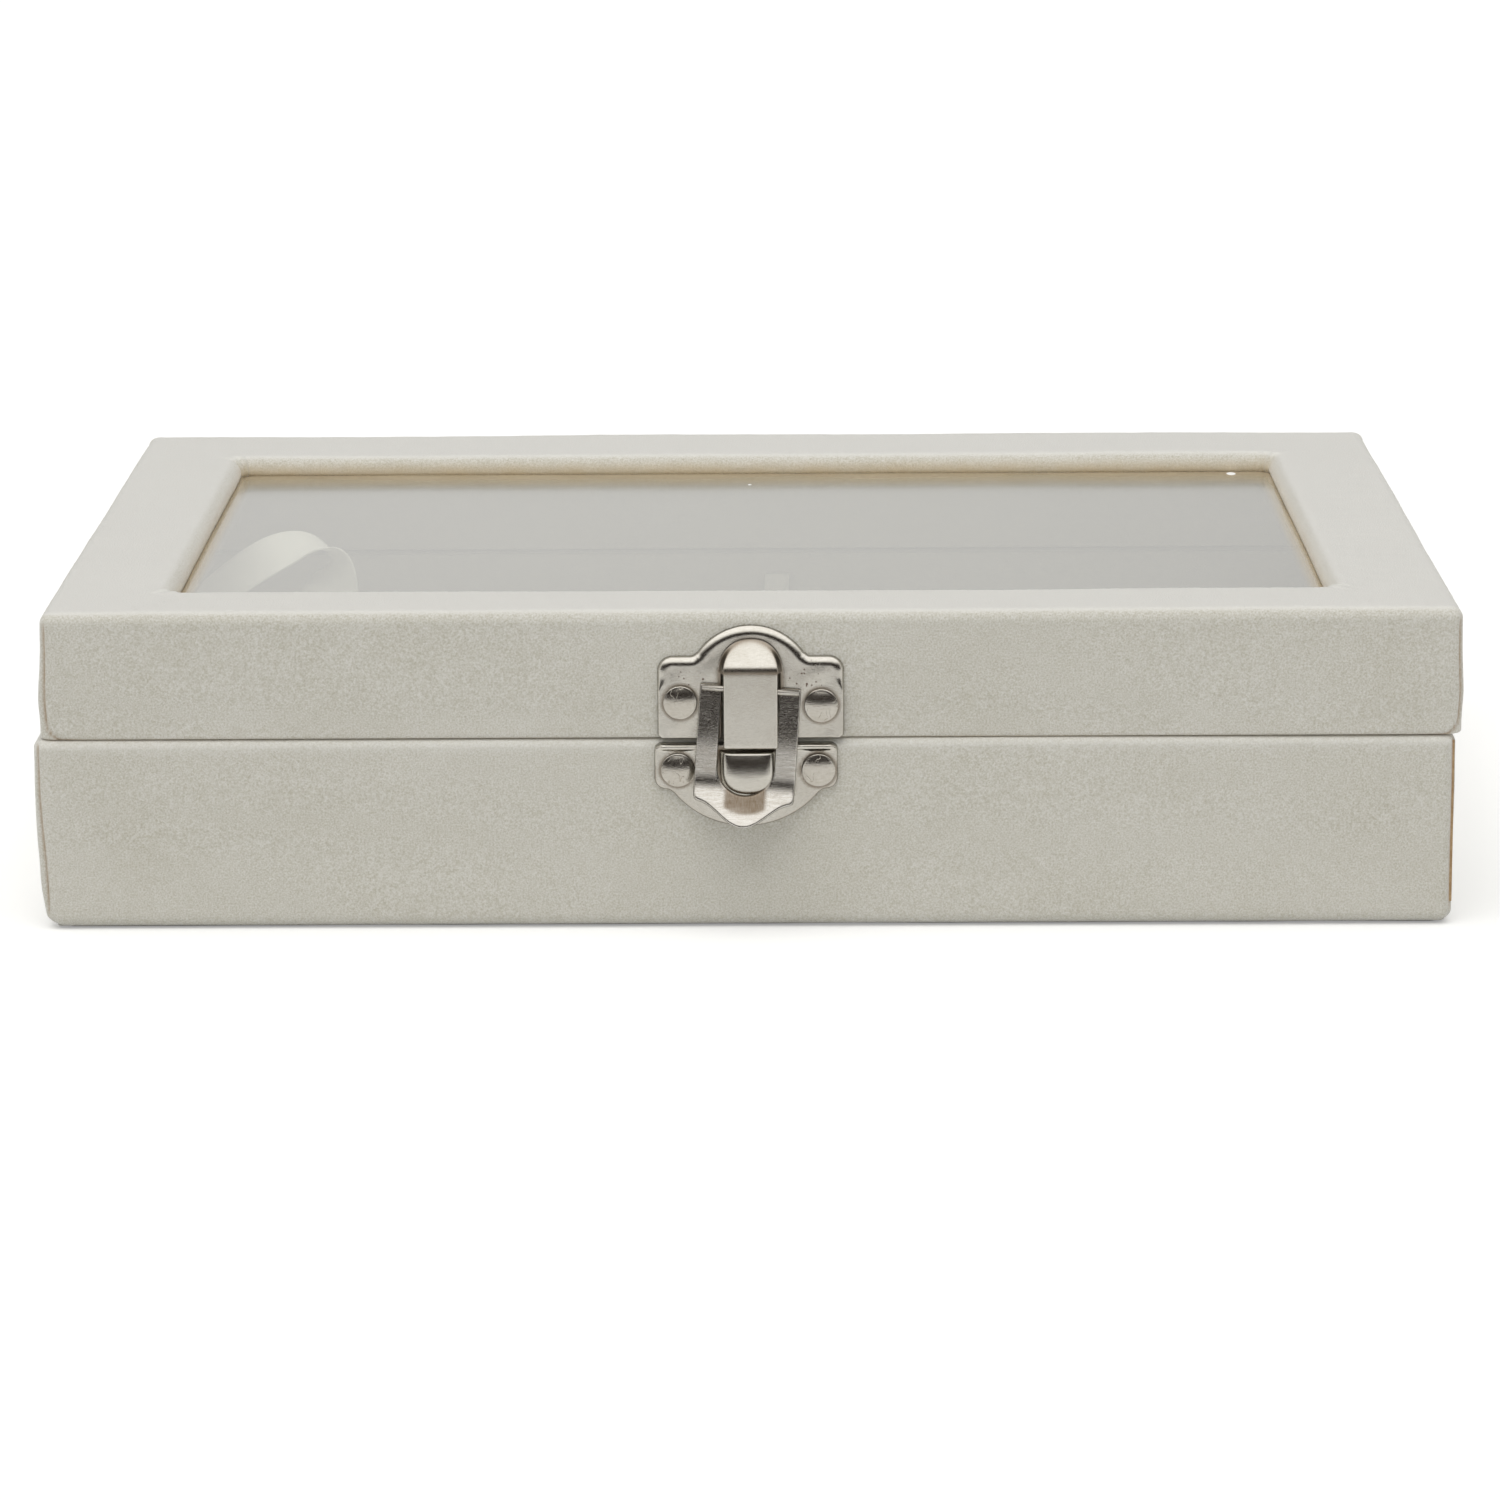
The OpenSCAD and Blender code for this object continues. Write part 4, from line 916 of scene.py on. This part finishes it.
def corner_arc(x, z, radius, start, end, steps=10):
    """Arc of a circle about (x, z), in degrees."""
    angle = np.radians(np.linspace(start, end, steps))
    return np.stack([x + radius * np.cos(angle), z + radius * np.sin(angle)], -1)


def lid_plate_line():
    """The upper plate's outline from its left foot over the crown to its right foot: rounded shoulders, a
    small hollow where they meet the arch, and a circle through the arch's feet and top."""
    p = LID_PLATE
    rise_h = p["apex"] - p["shoulder"]
    arch_r = (p["arch_half"] ** 2 + rise_h ** 2) / (2 * rise_h)
    arch_z = p["apex"] - arch_r
    hollow = 0.8
    end = np.degrees(np.arctan2(p["shoulder"] + 0.35 - arch_z, p["arch_half"] - 0.5))
    right_half = np.concatenate([
        corner_arc(0, arch_z, arch_r, 90, end, 40),
        corner_arc(p["arch_half"] + 0.62, p["shoulder"] + hollow, hollow, 215, 270, 8),
        corner_arc(p["half"] - p["corner"], p["shoulder"] - p["corner"], p["corner"], 90, 0, 14),
        [[p["half"], p["foot"] + 0.5]],
        corner_arc(p["half"] - 0.4, p["foot"] + 0.4, 0.4, 0, -90, 6)])
    left_half = (right_half * [-1, 1])[::-1]
    return np.concatenate([left_half, right_half[1:]])


def distance_to(points, path, closed=False):
    """Least distance of each point (..., 2) to a line of straight stretches."""
    ends = np.concatenate([path[1:], path[:1]]) if closed else path[1:]
    starts = path if closed else path[:-1]
    step = ends - starts
    rel = points[..., None, :] - starts
    share = np.clip((rel * step).sum(-1) / np.maximum((step * step).sum(-1), 1e-12), 0, 1)
    return np.linalg.norm(rel - share[..., None] * step, axis=-1).min(-1)


def past_dome(x, z):
    """Distance outside the dome's arch, which is half an ellipse above the crease."""
    return np.hypot(x, np.clip(z - CREASE_Z, 0, None) * DOME_HALF / DOME_HIGH) - DOME_HALF


def lid_plate_height(x, z, edge):
    """How far the upper plate stands off the velvet. Its edge is a quarter of an ellipse, wide along the
    crown and narrow down the sides. The dome is a slope that starts with a round bend at the crease, ends at
    an arch, and falls to the plate beyond it."""
    wide = 0.32 + 1.03 * rise(z, 34.6, 36.6)
    warp = sum(np.sin(x * a + z * b + c)
               for a, b, c in [(0.75, 0.5, 0.4), (-0.4, 1.1, 2.0), (1.3, -0.9, 4.1)])
    plate = PLATE_LIP + (PLATE_RISE - PLATE_LIP) * rounded(edge, wide) + WARP * warp * rise(edge, 0.8, 2.5)
    bend_r, steep = 2.0, np.radians(28)
    up = np.clip(z - CREASE_Z, 0, None)
    in_bend = np.minimum(up, bend_r * np.sin(steep))
    slope = TONGUE_STAND - (bend_r - np.sqrt(bend_r ** 2 - in_bend ** 2)) - (up - in_bend) * np.tan(steep)
    fall = rise(past_dome(x, z) / DOME_FOOT, 0, 1)
    return slope * (1 - fall) + plate * fall


def sheet_grid(x, z, height):
    """Points of a pressed sheet seen from the front: height is how far it stands off the velvet."""
    return np.stack([x, VELVET_Y - height, z], -1)


def pressed(plane, height_of, edge):
    """The grid of a plate: its points in x and z, pressed out by the height that the function gives."""
    return sheet_grid(plane[..., 0], plane[..., 1], height_of(plane[..., 0], plane[..., 1], edge))


outline = evened(lid_plate_line(), 301)
slot_foot, slot_top = LID_PLATE["foot"], CREASE_Z - 0.2
slot_line = evened(np.array([[-SLOT_HALF, slot_foot], [-SLOT_HALF, slot_top],
                             [SLOT_HALF, slot_top], [SLOT_HALF, slot_foot]]), 301)
turning = np.interp(np.linspace(0, 1, 301), [0, 0.30, 0.70, 1], [0, 10.3, 19.0, 29.3]) / 29.3
slot_line = at_lengths(slot_line, turning * travelled(slot_line)[-1])
plane = between(outline, slot_line, np.concatenate([np.linspace(0, 0.2, 14), np.linspace(0.2, 1, 42)[1:]]))
lid_plate_points = pressed(plane, lid_plate_height, distance_to(plane, outline))

# Spring tongue: a grid across its rounded sides and down its length, whose lower end is folded back. Its
# upper rows stay under the dome.
tongue_x = np.concatenate([-np.cos(np.linspace(0, np.pi / 2, 5)) * 0.3 - 3.5, np.linspace(-3.4, 3.4, 15),
                           3.5 + np.cos(np.linspace(np.pi / 2, 0, 5)) * 0.3])
fold_deg = np.radians(np.linspace(0, 78, 9))
tongue_z = np.concatenate([np.linspace(CREASE_Z + 0.3, 27.1, 40), 27.1 - 0.5 * np.sin(fold_deg)[1:],
                           [26.58, 26.58]])
tongue_out = np.concatenate([np.full(40, TONGUE_STAND), TONGUE_STAND - 0.5 * (1 - np.cos(fold_deg[1:])),
                             [TONGUE_STAND - 0.6, TONGUE_STAND - 0.95]]) - 0.012
cross = np.clip((np.abs(tongue_x) - 3.5) / 0.3, 0, 1)
bent = tongue_out[:, None] - 0.3 * (1 - np.sqrt(np.clip(1 - cross ** 2, 0, 1)))[None, :]
top_rows = tongue_z > CREASE_Z - 0.01
tongue_grid_x, tongue_grid_z = np.meshgrid(tongue_x, tongue_z)
inside_dome = lid_plate_height(tongue_grid_x, tongue_grid_z, 5.0) - 0.02
bent = np.where(top_rows[:, None], np.minimum(bent, inside_dome), bent)
tongue_points = sheet_grid(tongue_grid_x, tongue_grid_z, bent)


def front_order(points):
    """1 if the grid's faces look to the front, or else -1, the step that turns its rows round."""
    return 1 if grid_normals(points)[..., 1].mean() < 0 else -1


lid_plate_points = lid_plate_points[::front_order(lid_plate_points)]
tongue_points = tongue_points[::front_order(tongue_points)]
x, z = lid_plate_points[..., 0], lid_plate_points[..., 2]
# Painted shade: brown round the foot of the dome, along the slot edges below the crease and across the tongue
# at the crease, with darker rings round the nail heads.
dome_foot_shade = bell(past_dome(x, z) - 0.45, 0.4) * (z > CREASE_Z)
slot_edge_shade = bell(np.maximum(np.abs(x) - SLOT_HALF, 0), 0.5) * rise(-z, -CREASE_Z - 1, -CREASE_Z)
plate_shade = np.maximum.reduce([0.8 * dome_foot_shade, 0.8 * slot_edge_shade, 0.7 * nail_rings(x, z, "lid")])
crease_shade = 0.5 * bell(tongue_points[..., 2] - CREASE_Z + 0.1, 0.35)
plate_rust = bell(np.hypot(np.abs(x) - 7.6, z - 36.2), 2.4)
lid_plate = mesh_piece(
    "upper_plate", [(lid_plate_points, False, False), (tongue_points, False, False)], plate_nickel,
    {"grime_and_shade": np.append(plate_shade, crease_shade), "rust": np.append(plate_rust, 0 * crease_shade)})
thickened(lid_plate, SHEET)
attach(lid_plate, "lid")
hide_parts("latch_lid_plate")

# Lower latch plate: the same sheet, with a bead along its upper edge, a curved foot, and a hollow nose
# pressed out of it that the lever snaps over.
BASE_PLATE = dict(half=13.0, head=27.1, shoulder=20.4, foot=15.0, corner=1.6, shift=-0.7)
NOSE = dict(half=4.05, head=26.35, foot=19.2, bow=23.2, rise=2.7)
RIM_SHARE = 0.66


def base_plate_line():
    """The lower plate's outline, once round: square at the top, rounded corners, then one arc."""
    p = BASE_PLATE
    flat = p["half"] - p["corner"] - 1.1
    drop = p["shoulder"] - 0.5 - p["foot"]
    arc_r = (flat ** 2 + drop ** 2) / (2 * drop)
    end = np.degrees(np.arctan2(flat, arc_r - drop))
    lower = np.concatenate([[[flat + 0.75, p["shoulder"] - 0.04], [flat + 0.4, p["shoulder"] - 0.2]],
                            corner_arc(0, p["foot"] + arc_r, arc_r, -90 + end, -90, 60)])
    right_half = np.concatenate([
        [[0, p["head"]], [p["half"] - 0.9, p["head"]],
         [p["half"] - 0.1, p["head"] - 0.5], [p["half"], p["head"] - 1.2]],
        corner_arc(p["half"] - p["corner"], p["shoulder"] + p["corner"], p["corner"], 0, -90, 12), lower])
    left_half = (right_half * [-1, 1])[::-1]
    return np.concatenate([right_half, left_half[1:]]) + [p["shift"], 0]


def base_plate_height(x, z, edge):
    """How far the lower plate stands off the velvet: rolled edges, a half-round bead under the upper edge,
    and the nose, which has steep sides, leans back above its middle and rounds off below."""
    plate = PLATE_LIP + (PLATE_RISE - PLATE_LIP) * rounded(edge, 0.35)
    bead_z = BASE_PLATE["head"] - 0.5
    ends = rise(np.abs(x - BASE_PLATE["shift"]), 12.6, 11.6)
    bead = 0.5 * np.sqrt(np.clip(1 - ((z - bead_z) / 0.5) ** 2, 0, 1)) * ends
    inside = 1 - nose_reach(x, z) ** 2
    lean = 1 - 0.24 * (np.clip(z - 22.3, 0, None) / 4.0) ** 2
    crown = np.sqrt(np.clip(inside, 0, 1)) * lean * rounded(NOSE["head"] - z, 0.5)
    nose = PLATE_RISE - 0.1 + (NOSE["rise"] + 0.1) * crown
    return np.maximum(plate + bead, nose * (inside > 0) * (z < NOSE["head"]))


def nose_reach(x, z):
    """0 in the middle of the nose and 1 on its outline: straight sides, and half an ellipse below."""
    below = np.clip(NOSE["bow"] - z, 0, None) / (NOSE["bow"] - NOSE["foot"])
    return (np.abs(x - NOSE_X) / NOSE["half"]) ** 2.5 + below ** 2


outline = evened(base_plate_line(), 320)[:-1]
steps = np.concatenate([np.linspace(0, 0.12, 9), np.linspace(0.12, RIM_SHARE, 14)[1:],
                        np.linspace(RIM_SHARE, 1, 34)[1:]])
hub = np.array([NOSE_X, 22.9])
bearing = np.arctan2(outline[:, 1] - hub[1], outline[:, 0] - hub[0])
squared = (np.abs(np.cos(bearing)) ** 5 + np.abs(np.sin(bearing)) ** 5) ** (-1 / 5)
rim = hub + np.stack([4.1 * np.cos(bearing), 3.2 * np.sin(bearing)], -1) * \
    np.where(np.sin(bearing) > 0, squared, 1.0)[:, None]
inner_part = np.clip((steps - RIM_SHARE) / (1 - RIM_SHARE), 0, 1)
outer_part = np.clip(steps / RIM_SHARE, 0, 1)
plane = between(outline, rim, outer_part)
plane = plane * (1 - inner_part[None, :, None]) + hub * inner_part[None, :, None]
edge = distance_to(plane, outline, closed=True)
base_plate_points = pressed(plane, base_plate_height, edge)[::-1]
x, z = base_plate_points[..., 0], base_plate_points[..., 2]
# Painted shade: brown round the foot of the nose and along the plate's lower edge, with darker rings round
# the nail heads.
nose_out = np.maximum((nose_reach(x, z) - 1) * 1.6, z - NOSE["head"])
nose_foot_shade = bell(np.clip(nose_out - 0.1, 0, None), 0.5) * (nose_out > -0.2)
plate_foot_shade = bell(edge[::-1], 0.3) * (z < 24)
plate_shade = np.maximum.reduce([0.8 * nose_foot_shade, 0.7 * nail_rings(x, z, "base"), 0.6 * plate_foot_shade])
base_plate = mesh_piece("lower_plate", [(base_plate_points, True, False)], plate_nickel,
                        {"grime_and_shade": plate_shade}, merge=0.0005)
thickened(base_plate, 0.4)
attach(base_plate, "base")
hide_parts("latch_base_plate")

# Lever: one piece of sheet with a window. Its upper bar turns behind the tongue. Its legs lean forwards,
# then the foot flares out under the finger, cut to a curved point.
PIVOT_Z, LEVER_LEAN = 34.9, np.radians(4.0)
LEVER_HALF, LEVER_WINDOW = 7.1, 4.05
LEVER_HEAD, LEVER_LENGTH, KINK_START = 0.35, 19.0, 11.6
WINDOW_DROP, OGEE_H = 14.75, 3.2


def ogee_rise(x):
    """How far the lever's lower edge stands above its tip: half a cosine wave, with the corners rounded
    off."""
    x = np.abs(x)
    corner = np.clip((x - LEVER_HALF + 0.7) / 0.7, 0, 1)
    return OGEE_H * (1 - np.cos(np.pi * np.minimum(x / 6.9, 1.0))) / 2 + 0.7 * (1 - np.sqrt(1 - corner ** 2))


def lever_out(down):
    """How far the lever's outer face stands off the velvet at a distance below its pivot: the legs lean by
    9.5 degrees, straighten, then bend out to 29 and at last 33 degrees. The height adds up the slope."""
    depth = np.linspace(-1.0, LEVER_LENGTH + 0.6, 400)
    lean = 9.5 - 8.2 * rise(depth, 5.0, 9.5)
    flare = 29 + 4 * rise(depth, 15.0, LEVER_LENGTH)
    slope = np.tan(np.radians(lean + (flare - lean) * rise(depth, KINK_START, KINK_START + 3.4)))
    out = 1.72 + np.concatenate([[0], np.cumsum((slope[1:] + slope[:-1]) / 2 * np.diff(depth))])
    return np.interp(down, depth, out)


def leaned(points):
    """The lever hangs 4 degrees off plumb about its bar."""
    c, s = np.cos(LEVER_LEAN), np.sin(LEVER_LEAN)
    x, z = points[..., 0], points[..., 2] - PIVOT_Z
    return np.stack([c * x + s * z, points[..., 1], PIVOT_Z - s * x + c * z], -1)


def lever_line(half, lower_edge):
    """Down the left leg from above the bar, along the lower edge and up the right leg, with a third of its
    341 points on each leg."""
    path = np.concatenate([[[-half, LEVER_HEAD]], lower_edge, [[half, LEVER_HEAD]]])
    along = travelled(path)
    shares = np.interp(np.linspace(0, 1, 341), [0, 0.33, 0.67, 1], [0, along[1], along[-2], along[-1]])
    return at_lengths(path, shares)


tip_x = np.linspace(-LEVER_HALF, LEVER_HALF, 121)
rim_line = lever_line(LEVER_HALF, np.stack([tip_x, ogee_rise(tip_x) - LEVER_LENGTH], -1))
window_line = lever_line(LEVER_WINDOW, corner_arc(0, LEVER_WINDOW - WINDOW_DROP, LEVER_WINDOW, 180, 360, 60))
plane = between(rim_line, window_line, np.linspace(0, 1, 19))
to_rim, to_window = distance_to(plane, rim_line), distance_to(plane, window_line)
on_flare = rise(-plane[..., 1], 12.5, 14.5)
edge = np.minimum(to_rim / (0.25 + 0.10 * on_flare), to_window / 0.25)
height = lever_out(-plane[..., 1]) - (0.10 + 0.14 * on_flare) * (1 - rounded(edge, 1))
lever_points = leaned(sheet_grid(plane[..., 0], PIVOT_Z + plane[..., 1], height))
bar_angle = np.linspace(0, 2 * np.pi, 17)[:-1]
bar_x = np.array([-LEVER_HALF + 0.3, -LEVER_HALF + 0.3, LEVER_HALF - 0.3, LEVER_HALF - 0.3])
bar_r = np.array([0.0, 0.42, 0.42, 0.0])
bar_points = np.stack([np.repeat(bar_x[:, None], 16, 1), -77.02 + bar_r[:, None] * np.cos(bar_angle),
                       PIVOT_Z - 0.05 + bar_r[:, None] * np.sin(bar_angle)], -1)
# Painted reflection and shade: a brown patch in the middle of the flare, where the nose's shaded underside is
# mirrored, and brown along the window's edge.
above_tip = plane[..., 1] + LEVER_LENGTH - 0.09 * (plane[..., 0] - 0.2) ** 2
flare_shade_reflection = 0.92 * rise(above_tip, 1.5, 2.1) * (1 - rise(np.abs(plane[..., 0] - 0.2), 2.5, 3.3))
flare_shade_reflection = np.maximum(flare_shade_reflection, 0.6 * bell(to_window, 0.35)) * rise(-plane[..., 1], 12.6, 13.4)
order = front_order(lever_points)
lever = mesh_piece("latch_window_lever", [(lever_points[::order], False, False)], lever_nickel,
                   {"grime_and_shade": flare_shade_reflection[::order]})
thickened(lever, 0.5)
bar = mesh_piece("lever_bar", [(leaned(bar_points), False, True)], lever_nickel, merge=0.0005)
for piece in (lever, bar):
    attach(piece, "lever")
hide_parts("latch_lever")


# Nails: steel with domed nickel-plated heads, driven through the plates into the boards by hand, so that each
# leans its own way.
RIM_R = 0.18


def nail(name, place, axis, head_r, dome, rim, shank_r, length, tip_over, material):
    """A domed head on a shank, turned from one outline about its axis. tip_over is how far the head leans, in
    radians about two directions. axis is +1 where the head looks to the rear and -1 to the front."""
    ball = (head_r ** 2 + dome ** 2) / (2 * dome)
    spread = np.linspace(0, 1, 12)
    cap_r = head_r - RIM_R
    outline = [(cap_r * t, rim + np.sqrt(ball ** 2 - (cap_r * t) ** 2) - (ball - dome)) for t in spread]
    cap_edge = outline[-1][1]
    outline += [(cap_r + RIM_R * np.sin(a), cap_edge - RIM_R * (1 - np.cos(a)))
                for a in np.radians(np.linspace(20, 90, 5))]
    outline = np.array(outline + [(head_r, 0.0), (head_r * 0.96, -0.06), (shank_r, -0.06),
                                  (shank_r, -length + 1.2), (0.05, -length), (0.0, -length)])
    angle = np.linspace(0, 2 * np.pi, 49)[:-1]
    flat = outline[:, None, 0] * np.stack([np.cos(angle), np.sin(angle)], -1).T[:, None, :]
    on_head = (outline[:, 1] > -0.2)[:, None]
    height = outline[:, 1][:, None] + (flat[0] * tip_over[0] + flat[1] * tip_over[1]) * on_head
    points = np.stack([place[0] + flat[0], place[1] + axis * height, place[2] + flat[1]], -1)
    if axis > 0:
        points = points[:, ::-1]
    return mesh_piece(name, [(points[:, ::-1], False, True)], material, merge=0.0005)


head_nickel = nickel_material("head_nickel", (1.0, 1.0, 3.0), (0.52, 0.495, 0.45), 0.22, 0.00003, worn=0.9)
for name, body, x, z, tip_over in LATCH_NAILS:
    place = (x, VELVET_Y - PLATE_RISE - 0.08, z)
    piece = nail(name, place, -1, HEAD_R, 0.5, 0.32, 0.8, 6.0, tip_over, head_nickel)
    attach(piece, body)
    if name.endswith("left"):
        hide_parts(f"latch_{body}_nails")

# Hinges: two small butt hinges at the back, stamped and rolled from plated steel, each with a pin and four
# nails. The solids have their true shape, so they only get softened edges.
HINGE_X, HINGE_Z, LEAF_NAIL, LEAF_RISE, REAR_Y = 62.0, 27.6, 5.0, 5.5, 75.8
hinge_nickel = nickel_material("hinge_nickel", (8.0, 1.0, 1.0), (0.62, 0.60, 0.56), 0.26)


def softened(node, body, width):
    """A copy of a CAD node whose edges are rounded, in the node's place."""
    made = bpy.data.objects.new(node + "_rounded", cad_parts[node].data.copy())
    bpy.context.collection.objects.link(made)
    made.matrix_world = Matrix.Identity(4)
    work = bmesh.new()
    work.from_mesh(made.data)
    bmesh.ops.remove_doubles(work, verts=work.verts, dist=1e-6)
    bmesh.ops.dissolve_limit(work, angle_limit=np.radians(2), verts=work.verts, edges=work.edges)
    work.to_mesh(made.data)
    work.free()
    made.data.materials.clear()
    made.data.materials.append(hinge_nickel)
    rounding = made.modifiers.new("edges", "BEVEL")
    rounding.width, rounding.segments, rounding.limit_method = width, 2, "ANGLE"
    rounding.angle_limit = np.radians(40)
    made.data.shade_smooth()
    made.data.set_sharp_from_angle(angle=np.radians(40))
    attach(made, body)
    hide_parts(node)


for side in ("left", "right"):
    softened(f"hinge_{side}_base_leaf", "base", 0.00012)
    softened(f"hinge_{side}_lid_leaf", "lid", 0.00012)
    softened(f"hinge_{side}_pin", "base", 0.0001)
chance = np.random.default_rng(12)
nail_places = [hinge + nail_x for hinge in (-HINGE_X, HINGE_X) for nail_x in (-LEAF_NAIL, LEAF_NAIL)]
for body, up in (("base", -1), ("lid", 1)):
    for number, x in enumerate(nail_places, 1):
        place = (x, REAR_Y, HINGE_Z + up * LEAF_RISE)
        piece = nail(f"hinge_{body}_nail_{number}", place, 1, 1.5, 0.4, 0.12, 0.6, 5.5,
                     chance.uniform(-0.04, 0.04, 2), hinge_nickel)
        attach(piece, body)
        if number == 1:
            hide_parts(f"hinge_{body}_nails")
